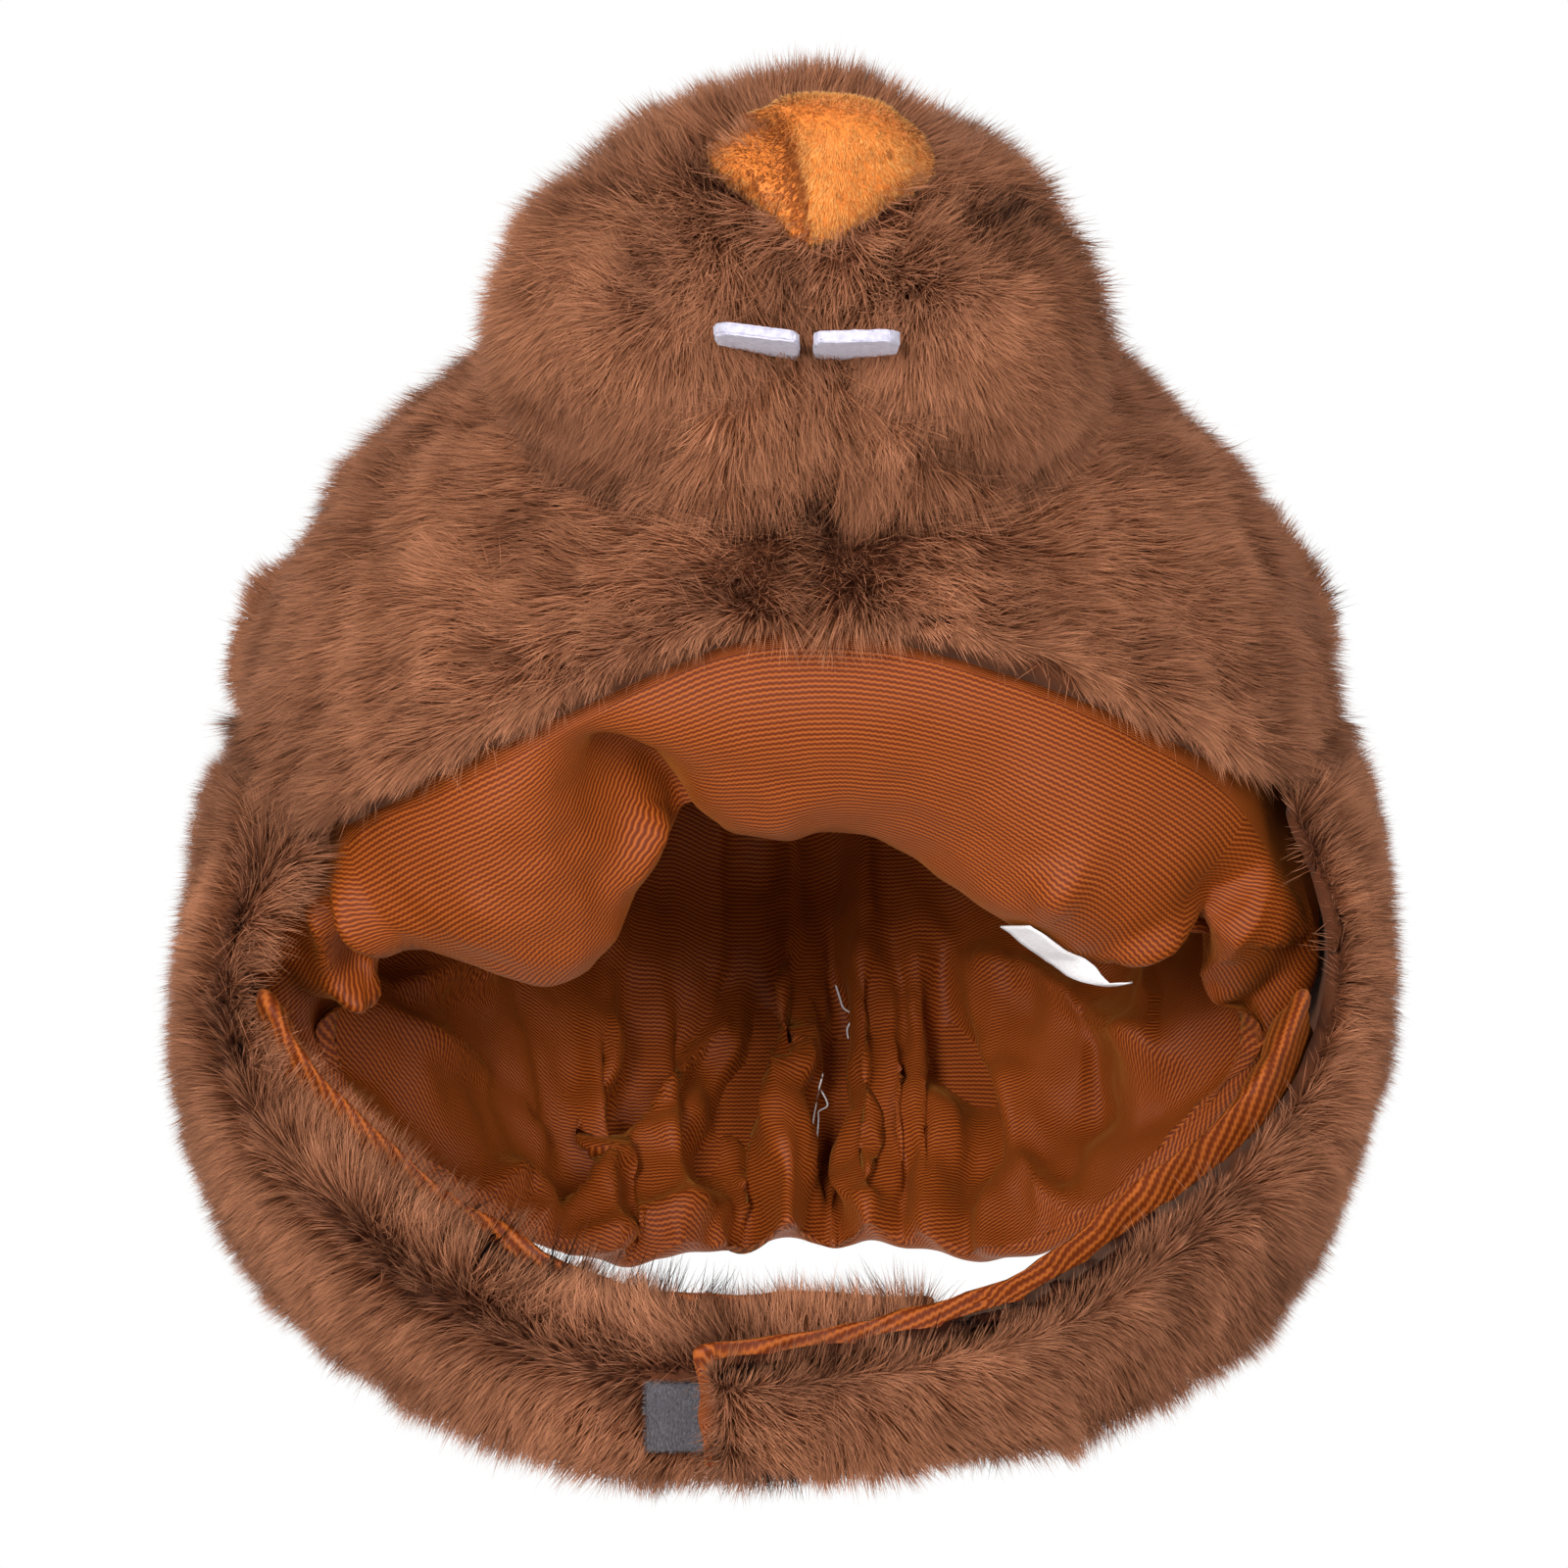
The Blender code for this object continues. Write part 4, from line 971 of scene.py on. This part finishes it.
def resample(lines, counts):
    """Smooth points between the lines of a profile, that many for each span."""
    rows, keys = [], []
    for i, count in enumerate(counts):
        here, after = lines[i], lines[i + 1]
        before, beyond = lines[max(i - 1, 0)], lines[min(i + 2, len(lines) - 1)]
        for k in range(count):
            t = k / count
            bend = (2 * before - 5 * here + 4 * after - beyond) * t**2
            twist = (3 * here - before - 3 * after + beyond) * t**3
            rows.append(0.5 * (2 * here + (after - before) * t + bend + twist))
            keys.append(i + t)
    rows.append(lines[-1])
    keys.append(len(lines) - 1)
    return np.array(rows), np.array(keys)


# Small gathers by angle and profile key
FOLDS = table(
    "angle slant from to width rise",
    (-170, 6, 5.0, 15.0, 1.3, -0.0022),
    (-163, 9, 4.5, 14.0, 1.5, 0.0024),
    (-150, 12, 4.5, 13.0, 1.6, -0.0024),
    (-143, 14, 4.5, 12.0, 1.4, 0.0026),
    (-131, 10, 4.5, 11.0, 2.2, -0.0020),
    (-112, 14, 4.0, 11.0, 2.6, 0.0020),
    (104, -14, 4.0, 11.0, 2.4, -0.0020),
    (118, -10, 4.0, 11.0, 2.6, 0.0022),
    (136, -8, 4.5, 12.0, 1.8, -0.0024),
    (149, -6, 4.5, 13.0, 1.5, 0.0022),
    (171, -3, 5.0, 15.0, 1.2, -0.0024),
    (176, -2, 5.0, 16.0, 1.0, 0.0022),
)

# Larger folds by their routes in the view, in pixels of an image 1600 wide and high.
# A ledge is raised on the left of its route, another fold on the route itself.
SEEN_FOLDS = table(
    "at rise width ledge route",
    ("left puff crease", -0.0060, 0.0040, 0,
     [(333, 860), (345, 900), (365, 935), (400, 970), (450, 998), (510, 1005)]),
    ("left puff pleat", -0.0035, 0.0030, 0, [(305, 905), (335, 950), (335, 1000)]),
    ("left puff pleat rib", 0.0030, 0.0032, 0, [(330, 880), (355, 960), (375, 1000)]),
    ("left side roll", 0.0045, 0.0070, 0,
     [(255, 980), (300, 1030), (360, 1070), (400, 1100), (440, 1150), (480, 1200)]),
    ("left side crease", -0.0040, 0.0030, 0, [(345, 1005), (430, 1005), (500, 1000)]),
    ("left side low crease", -0.0040, 0.0032, 0, [(345, 1005), (390, 1030), (440, 1060), (500, 1110)]),
    ("left back pinch", -0.0045, 0.0036, 0, [(500, 1215), (540, 1195), (560, 1220), (550, 1255)]),
    ("left back ledge", 0.0055, 0.0030, 1,
     [(570, 1235), (600, 1195), (640, 1150), (690, 1090), (740, 1040), (760, 990)]),
    ("left back rib", 0.0040, 0.0036, 0, [(655, 1145), (700, 1110), (740, 1060), (765, 1000)]),
    ("nape left crease", -0.0040, 0.0036, 0, [(570, 1270), (640, 1255), (700, 1240), (735, 1225)]),
    ("nape left ledge", 0.0050, 0.0028, 1, [(735, 1225), (750, 1190), (765, 1120), (790, 1040), (800, 980)]),
    ("nape second ledge", 0.0045, 0.0028, 1, [(750, 1230), (790, 1130), (815, 1040), (822, 980)]),
    ("nape left of seam", -0.0035, 0.0030, 0, [(818, 1200), (812, 1130), (812, 1060)]),
    ("nape seam", 0.0050, 0.0028, 0, [(855, 1250), (850, 1160), (845, 1080), (858, 1000)]),
    ("nape seam fold", 0.0038, 0.0028, 0, [(870, 1100), (880, 1040), (885, 990)]),
    ("nape right of seam", -0.0045, 0.0030, 0, [(870, 1130), (865, 1200), (890, 1230)]),
    ("nape right rib", 0.0045, 0.0044, 0, [(895, 1220), (880, 1150), (872, 1090)]),
    ("nape right crease", -0.0035, 0.0034, 0, [(900, 1240), (925, 1160), (915, 1080), (905, 1000)]),
    ("right back ledge", 0.0060, 0.0032, 1, [(1030, 1185), (1015, 1110), (990, 1040), (965, 970)]),
    ("right back corner", -0.0050, 0.0040, 0, [(1030, 1185), (1070, 1225), (1100, 1230)]),
    ("right side roll", 0.0055, 0.0075, 0,
     [(1065, 1160), (1110, 1140), (1170, 1120), (1220, 1090), (1290, 1030), (1340, 990), (1355, 950)]),
    ("right side crease", -0.0050, 0.0036, 0, [(1000, 985), (1070, 1010), (1130, 1040), (1200, 1085)]),
    ("right temple ledge", 0.0055, 0.0032, 1,
     [(1222, 1000), (1235, 970), (1270, 930), (1295, 890), (1298, 850)]),
    ("right side long fold", -0.0045, 0.0038, 0, [(1130, 990), (1200, 960), (1270, 930)]),
    ("right puff dent", -0.0035, 0.0050, 0, [(1095, 885), (1065, 930)]),
    ("right temple pleat", -0.0035, 0.0030, 0, [(1300, 870), (1320, 920), (1350, 960)]),
    ("right temple rib", 0.0030, 0.0034, 0, [(1318, 870), (1340, 915), (1365, 945)]),
    ("puff middle pinch", -0.0050, 0.0050, 0, [(640, 905), (655, 860), (668, 815)]),
)
IMAGE_SIDE = 1600
FOLD_JUMP = 0.025
LEDGE_REACH = 0.017
# How high the folds stand for their rows: ledges, small gathers and all routed folds
LEDGE_GAIN = 1.45
FOLD_GAIN = 0.60
SEEN_GAIN = 1.35
FOLD_LIMIT = 0.010
# The lining's hem hangs lower at both sides of the nape
HEM_DROP = 0.0040
HEM_DROP_ANGLE = 118
HEM_DROP_WIDTH = 17

COLUMNS = 520
SPANS = [3, 4, 6, 7, 6] + [8] * 5 + [3] * 7
TOP_KEY = 17
OUTER_ROWS = 14
WALL_SHARE = 0.4
CLOTH_EASE = 18


def grid_faces(rows, columns, start=0):
    numbers = start + np.arange(rows * columns).reshape(rows, columns)
    low, high = numbers[:-1], numbers[1:]
    return np.stack([low[:, :-1], low[:, 1:], high[:, 1:], high[:, :-1]], -1).reshape(-1, 4)


def corner_values(sides, faces):
    """The pair of values at each corner of the faces, from both values of each side's grid."""
    grids = [np.stack(np.broadcast_arrays(u, v), -1).reshape(-1, 2) for u, v in sides]
    return np.concatenate(grids)[faces.ravel()]


def view_ray(px, py):
    """The direction from the lens through a place in the image."""
    scale = CAMERA_LENS / CAMERA_SENSOR * IMAGE_SIDE
    ahead = np.array((0.0, math.cos(TILT), math.sin(TILT)))
    up = np.array((0.0, -math.sin(TILT), math.cos(TILT)))
    right = np.array((1.0, 0.0, 0.0))
    return ahead + right * (px - IMAGE_SIDE / 2) / scale + up * (IMAGE_SIDE / 2 - py) / scale


def fold_lines(surface, route):
    """The parts of a route that lie on the surface in one stretch, as points about 1 mm apart."""
    lines, line = [], []
    for (ax, ay), (bx, by) in zip(route[:-1], route[1:]):
        steps = max(2, int(math.hypot(bx - ax, by - ay) / 4))
        for k in range(steps):
            way = view_ray(ax + (bx - ax) * k / steps, ay + (by - ay) * k / steps)
            place = surface.ray_cast(Vector(EYE), Vector(way))[0]
            if place is None or (line and (place - line[-1]).length > FOLD_JUMP):
                lines.append(line)
                line = []
            if place is not None:
                line.append(place)
    lines.append(line)
    return [np.array(kept) for kept in lines if len(kept) > 3]


def fold_shift(rows, normals):
    """How far the folds of the routes raise each point of the lining."""
    points, lifts = rows.reshape(-1, 3), normals.reshape(-1, 3)
    faces = grid_faces(*rows.shape[:2])
    surface = BVHTree.FromPolygons([Vector(p) for p in points], faces.tolist())
    shift = np.zeros(len(points))
    for fold in SEEN_FOLDS:
        reach = LEDGE_REACH * 2 if fold["ledge"] else fold["width"] * 3
        for line in fold_lines(surface, fold["route"]):
            for _ in range(6):
                line[1:-1] = (line[:-2] + 2 * line[1:-1] + line[2:]) / 4
            near = np.all((points > line.min(0) - reach) & (points < line.max(0) + reach), axis=1)
            picked = np.nonzero(near)[0]
            apart = points[picked][:, None] - line[None]
            gaps = np.linalg.norm(apart, axis=2)
            closest = gaps.argmin(1)
            gap = gaps[np.arange(len(picked)), closest]
            fade = np.sin(math.pi * (closest + 0.5) / len(line)) ** 0.5
            if fold["ledge"]:
                tangent = unit(np.gradient(line, axis=0))[closest]
                beside = (np.cross(tangent, lifts[picked]) * apart[np.arange(len(picked)), closest]).sum(1)
                far = np.maximum(gap - np.abs(beside), 0.0)
                raised = smooth(beside / fold["width"] + 0.5) * bump(np.maximum(beside, 0.0), LEDGE_REACH)
                shape = raised * bump(far, fold["width"]) - 0.4 * bump(gap + beside + 0.001, fold["width"])
            else:
                shape = bump(gap, fold["width"])
            gain = LEDGE_GAIN if fold["ledge"] else 1.0
            shift[picked] += gain * fold["rise"] * fade * shape
    return shift.reshape(rows.shape[:2])


def lining_surface():
    """The inner side as rows of points, with each point's profile key."""
    angle = np.linspace(-180, 180, COLUMNS + 1)
    rows, keys = resample(lining_profile(angle), SPANS)
    across = np.gradient(rows, axis=1)
    across[:, 0] = across[:, -1] = rows[:, 1] - rows[:, -2]
    normals = unit(np.cross(across, np.gradient(rows, axis=0)))
    normals[-1] = (0, 0, -1)
    shift = np.zeros(rows.shape[:2])
    for fold in FOLDS:
        share = (keys - fold["from"]) / (fold["to"] - fold["from"])
        fade = np.sin(math.pi * np.clip(share, 0, 1)) ** 0.6
        line = fold["angle"] + fold["slant"] * np.clip(share, 0, 1)
        beside = signed(angle[None] - line[:, None])
        shift += FOLD_GAIN * fold["rise"] * fade[:, None] * bump(beside, fold["width"])
    calm = smooth(keys / 2.0)[:, None] * smooth((TOP_KEY - keys) / 3.0)[:, None]
    lower = bump(np.abs(angle) - HEM_DROP_ANGLE, HEM_DROP_WIDTH)
    rows[..., 2] -= HEM_DROP * lower[None] * smooth(1 - keys / 6)[:, None]
    wrinkle = 0.0013 * waves(rows, 0.034, 21) + 0.00035 * waves(rows, 0.011, 22)
    shift = np.clip(shift + fold_shift(rows, normals) * SEEN_GAIN, -FOLD_LIMIT, FOLD_LIMIT)
    nape = smooth((np.abs(angle) - 120) / 30)[None]
    pleats = 0.0006 * waves(np.stack([angle, 0 * angle, 0 * angle], 1), 9.0, 23)[None] * nape
    pleats = pleats * (smooth((13 - keys) / 6.0) * smooth((keys - 2.5) / 3.0))[:, None]
    rows = rows + normals * ((shift + wrinkle + pleats) * calm)[..., None]
    rows[:, -1] = rows[:, 0]
    return angle, rows, keys


def hood_lining():
    """The bag: its inner side with the folds, and a plain outer side up under the fur."""
    angle, inner, keys = lining_surface()
    outer = [inner[0]]
    base = inner[0][:, 2]
    hem = WIDEST_Z - BODY_DROP * along(CROWN_HEM, "drop", angle)
    bulge = SIDE_BULGE * along(LINING, "bulge", angle)
    for k in range(1, OUTER_ROWS):
        share = k / (OUTER_ROWS - 1)
        z = base + (WIDEST_Z - base) * min(share / WALL_SHARE, 1.0)
        if share >= WALL_SHARE:
            z = 0 * z + dome_height((share - WALL_SHARE) / (1 - WALL_SHARE), PLUSH + LINING_GAP)
        swell = bulge * np.clip((hem - BULGE_CLEARANCE - z) / BULGE_RISE, 0.0, 1.0)
        radius = shell_radius(angle, z, PLUSH + LINING_GAP) + swell
        outer.append(at_angle(angle, radius * (share < 1), z))
    outer = np.array(outer)
    outer[:, -1] = outer[:, 0]
    inside = grid_faces(*inner.shape[:2])
    outside = grid_faces(*outer.shape[:2], start=inner.shape[0] * inner.shape[1])[:, ::-1]

    # The ribs are one pitch apart along the cloth: its length up each column, evened out round the hood
    steps = np.linalg.norm(np.diff(inner, axis=0), axis=2)
    wide = np.concatenate([steps[:, -1 - CLOTH_EASE : -1], steps, steps[:, 1 : 1 + CLOTH_EASE]], axis=1)
    eased = np.mean([wide[:, k : k + steps.shape[1]] for k in range(2 * CLOTH_EASE + 1)], axis=0)
    length = np.concatenate([0 * eased[:1], np.cumsum(eased, axis=0)])
    around = np.radians(angle) * 0.100
    slant = 0.60 * np.maximum(np.abs(around) - 0.105, 0.0)
    reach = np.linspace(0, 0.2, OUTER_ROWS)[:, None]
    turn = (angle + 180) / 360
    cloth = [(around, length + slant), (around, -reach)]
    bake = [(turn, 0.3 + 0.7 * keys[:, None] / TOP_KEY), (turn, 0.29 - 1.4 * reach)]
    faces = np.concatenate([inside, outside])
    made = piece(
        "hood_lining",
        np.concatenate([inner.reshape(-1, 3), outer.reshape(-1, 3)]),
        [faces],
        [TRICOT],
        {"OFBake": corner_values(bake, faces), "cloth": corner_values(cloth, faces)},
    )
    weld(made)
    dress(made, "rust_tricot", 0.5, "lining")
    return inner, keys


def weld(made, distance=0.00001):
    """Joins the points where a grid meets itself, and drops the faces that vanish there."""
    work = bmesh.new()
    work.from_mesh(made.data)
    bmesh.ops.remove_doubles(work, verts=work.verts, dist=distance)
    bmesh.ops.dissolve_degenerate(work, edges=work.edges, dist=distance / 2)
    work.to_mesh(made.data)
    work.free()
    made.data.update()


INNER, KEYS = hood_lining()


def on_lining(angle, key):
    """A point on the lining's inner side at an angle and a profile key."""
    column = int(round((angle + 180) / 360 * COLUMNS)) % COLUMNS
    row = int(np.argmin(np.abs(KEYS - key)))
    return INNER[row, column]


def flap_lining(name):
    """The flap's padded tricot, ribs along the loop."""
    points, triangles, normals = rounded(name, 2)
    out = points - LOOP_MIDDLE
    turn = np.arctan2(out[:, 0], -out[:, 2])
    steps = np.linspace(turn.min(), turn.max(), 25)
    middles = []
    for low, high in zip(steps[:-1], steps[1:]):
        middles.append(points[(turn >= low) & (turn <= high)].mean(axis=0))
    middles = np.array(middles)
    halves = (steps[:-1] + steps[1:]) / 2
    centre = np.stack([np.interp(turn, halves, middles[:, i]) for i in range(3)], 1)
    away = points - centre
    inward = unit(np.stack([-out[:, 0], 0 * turn, -out[:, 2]], 1))
    around = np.arctan2(away[:, 1], (away * inward).sum(1))
    wrinkle = 0.0006 * waves(points, 0.022, 32) + 0.0003 * waves(points, 0.009, 33)
    points = points + unit(normals) * wrinkle[:, None]
    round_corners = around[triangles]
    wrap = (round_corners.max(1) - round_corners.min(1) > math.pi)[:, None] & (round_corners < 0)
    round_corners = round_corners + 2 * math.pi * wrap
    cloth = np.stack([turn[triangles] * 0.110, round_corners * 0.024], -1).reshape(-1, 2)
    bake = np.stack([(turn[triangles] + math.pi) / 6.3, (round_corners + math.pi) / 9.5], -1).reshape(-1, 2)
    made = piece(name + "_cloth", points, [triangles], [TRICOT], {"OFBake": bake, "cloth": cloth})
    return dress(made, "rust_tricot", 0.6, name)


flap_lining("flap_lining_left")
flap_lining("flap_lining_right")


# Teeth: two cut pieces of felt, a little fuzzy at their edges


def felt_tooth(name):
    """The part's tooth with eased, slightly uneven edges."""
    mesh = NODES[name].data.copy()
    work = bmesh.new()
    work.from_mesh(mesh)
    bmesh.ops.remove_doubles(work, verts=work.verts, dist=0.00001)
    bmesh.ops.dissolve_limit(work, angle_limit=math.radians(3), verts=work.verts, edges=work.edges)
    sharp = [e for e in work.edges if e.calc_face_angle(0) > math.radians(25)]
    bmesh.ops.bevel(work, geom=sharp, offset=0.0004, segments=3, affect="EDGES", clamp_overlap=True)
    bmesh.ops.triangulate(work, faces=work.faces)
    for _ in range(4):
        long = [e for e in work.edges if e.calc_length() > 0.0009]
        bmesh.ops.subdivide_edges(work, edges=long, cuts=1, use_grid_fill=False)
        bmesh.ops.triangulate(work, faces=work.faces)
    work.normal_update()
    points = np.array([v.co for v in work.verts])
    push = 0.00008 * waves(points, 0.0045, 41) + 0.00006 * waves(points, 0.0014, 42)
    for vertex, amount in zip(work.verts, push):
        vertex.co += vertex.normal * amount
    made = bpy.data.objects.new(name + "_felt", mesh)
    work.to_mesh(mesh)
    work.free()
    mesh.materials.clear()
    mesh.materials.append(FELT)
    mesh.shade_smooth()
    bpy.context.scene.collection.objects.link(made)
    return dress(made, "white_felt", 0.9, name)


felt_tooth("tooth_left")
felt_tooth("tooth_right")


# Care label: a bare satin tag, its free end lifted


LABEL_TURN = (41, 20)
LABEL_WIDTH = 0.0105
LABEL_THICKNESS = 0.00035
LABEL_GRID = (25, 7)


def care_label():
    """A thin tag that hangs under the right puff's lowest line, its far end lifted."""
    long, wide = LABEL_GRID
    rows = []
    for k in range(long):
        share = k / (long - 1)
        angle = LABEL_TURN[0] + LABEL_TURN[1] * share
        foot = on_lining(angle, 3.0)
        head = on_lining(angle, 4.0)
        foot = foot + (head - foot) * 0.30
        up = unit(head - foot)
        turn = math.radians(angle)
        out = unit(np.cross(up, (math.cos(turn), math.sin(turn), 0.0)))
        lift = 0.0012 + 0.0035 * share**2 + 0.0016 * math.sin(share * 7.5) * share
        line = []
        for j in range(wide):
            across = j / (wide - 1)
            curl = 0.0008 * math.sin(math.pi * across) * share
            line.append(foot + up * (LABEL_WIDTH * across) + out * (lift + curl))
        rows.append(line)
    top = np.array(rows)
    normal = unit(np.cross(np.gradient(top, axis=0), np.gradient(top, axis=1)))
    under = top - normal * LABEL_THICKNESS
    count = long * wide
    faces = [grid_faces(long, wide), grid_faces(long, wide, count)[:, ::-1]]
    numbers = np.arange(count).reshape(long, wide)
    ring = np.concatenate([numbers[0], numbers[1:, -1], numbers[-1, ::-1][1:], numbers[::-1, 0][1:]])
    faces.append(np.stack([ring[:-1], ring[:-1] + count, ring[1:] + count, ring[1:]], 1))
    points = np.concatenate([top, under]).reshape(-1, 3)
    made = piece("care_label_tag", points, [np.concatenate(faces)], [SATIN])
    dress(made, "white_satin", None, "care_label")


care_label()


# Loose basting threads at the nape seam


THREAD_SIDES = 6


def thread(name, route, radius=0.00022):
    """A round thread along a route, thinner at both ends."""
    line, _ = resample(route, [6] * (len(route) - 1))
    way = unit(np.gradient(line, axis=0))
    first = unit(np.cross(way, (0.3, 1.0, 0.2)))
    second = np.cross(way, first)
    size = np.full(len(line), radius)
    size[[0, -1]] *= 0.35
    turn = 2 * math.pi * np.arange(THREAD_SIDES)[:, None] / THREAD_SIDES
    ring = first[:, None] * np.cos(turn) + second[:, None] * np.sin(turn)
    points = line[:, None] + ring * size[:, None, None]
    numbers = np.arange(len(line) * THREAD_SIDES).reshape(-1, THREAD_SIDES)
    after = np.roll(numbers, -1, axis=1)
    faces = np.stack([numbers[:-1], after[:-1], after[1:], numbers[1:]], -1).reshape(-1, 4)
    caps = np.stack([numbers[0, ::-1], numbers[-1]])
    made = piece(name, points.reshape(-1, 3), [faces, caps], [THREAD])
    return dress(made, "white_satin")


def stitch_route(angle, first, last, count, proud, seed):
    """Uneven stitches up the lining, standing a little proud of it."""
    rng = np.random.default_rng(seed)
    route = []
    for k in range(count):
        key = first + (last - first) * k / (count - 1)
        p = on_lining(angle + rng.normal(0, 0.35), key)
        inward = unit(np.array((0.0, 0.0, p[2])) - p)
        route.append(p + inward * (0.0006 + proud * abs(rng.normal(0, 1))))
    return np.array(route)


thread("basting_thread_1", stitch_route(177.5, 6.4, 7.3, 9, 0.0010, 51))
thread("basting_thread_2", stitch_route(176.5, 6.5, 7.1, 6, 0.0016, 52))
thread("basting_thread_3", stitch_route(175.0, 8.0, 8.6, 6, 0.0008, 53))
thread("basting_thread_4", stitch_route(178.5, 6.2, 6.8, 5, 0.0018, 54))


# Floor, light and camera

LIGHT_AIM = (0.0, 0.0, -0.02)

def floor():
    size = 3.0
    points = [(-size, -size, FLOOR_Z), (size, -size, FLOOR_Z), (size, size, FLOOR_Z), (-size, size, FLOOR_Z)]
    made = piece("floor", points, [np.array([[0, 1, 2, 3]])], [FLOOR])


def softbox(name, place, size, power):
    """A round area light that looks at the hat."""
    data = bpy.data.lights.new(name, "AREA")
    data.shape = "DISK"
    data.size = size
    data.energy = power
    made = bpy.data.objects.new(name, data)
    made.location = place
    made.rotation_mode = "QUATERNION"
    made.rotation_quaternion = (Vector(LIGHT_AIM) - Vector(place)).to_track_quat("-Z", "Y")
    bpy.context.scene.collection.objects.link(made)


def studio():
    """Three soft lights and a world that is darker behind the lens."""
    world = bpy.data.worlds.new("studio")
    bpy.context.scene.world = world
    world.use_nodes = True
    tree = world.node_tree
    background = tree.nodes["Background"]
    parts = separated(tree, node(tree, "ShaderNodeTexCoord").outputs["Generated"])
    depth = math_node(tree, "MULTIPLY_ADD", parts[1], 0.5, 0.5)
    shade = ramp(tree, depth, [(0.20, (0.20, 0.20, 0.205)), (0.75, (1.0, 1.0, 1.0))])
    tree.links.new(shade, background.inputs["Color"])
    background.inputs["Strength"].default_value = 1.0
    softbox("key", (-0.80, -2.06, -0.61), 0.8, 46)
    softbox("fill", (0.95, -2.10, -0.58), 0.9, 22)
    softbox("top", (0.10, -0.15, 1.30), 0.9, 10)
    bpy.context.scene.view_settings.view_transform = "Standard"


def camera():
    way = Vector((0.0, math.cos(TILT), math.sin(TILT)))
    data = bpy.data.cameras.new("camera")
    data.lens = CAMERA_LENS
    data.sensor_width = CAMERA_SENSOR
    data.clip_start = 0.05
    made = bpy.data.objects.new("camera", data)
    made.location = Vector(CAMERA_TARGET) - way * CAMERA_DISTANCE
    made.rotation_mode = "QUATERNION"
    made.rotation_quaternion = way.to_track_quat("-Z", "Y")
    bpy.context.scene.collection.objects.link(made)
    bpy.context.scene.camera = made


floor()
studio()
camera()
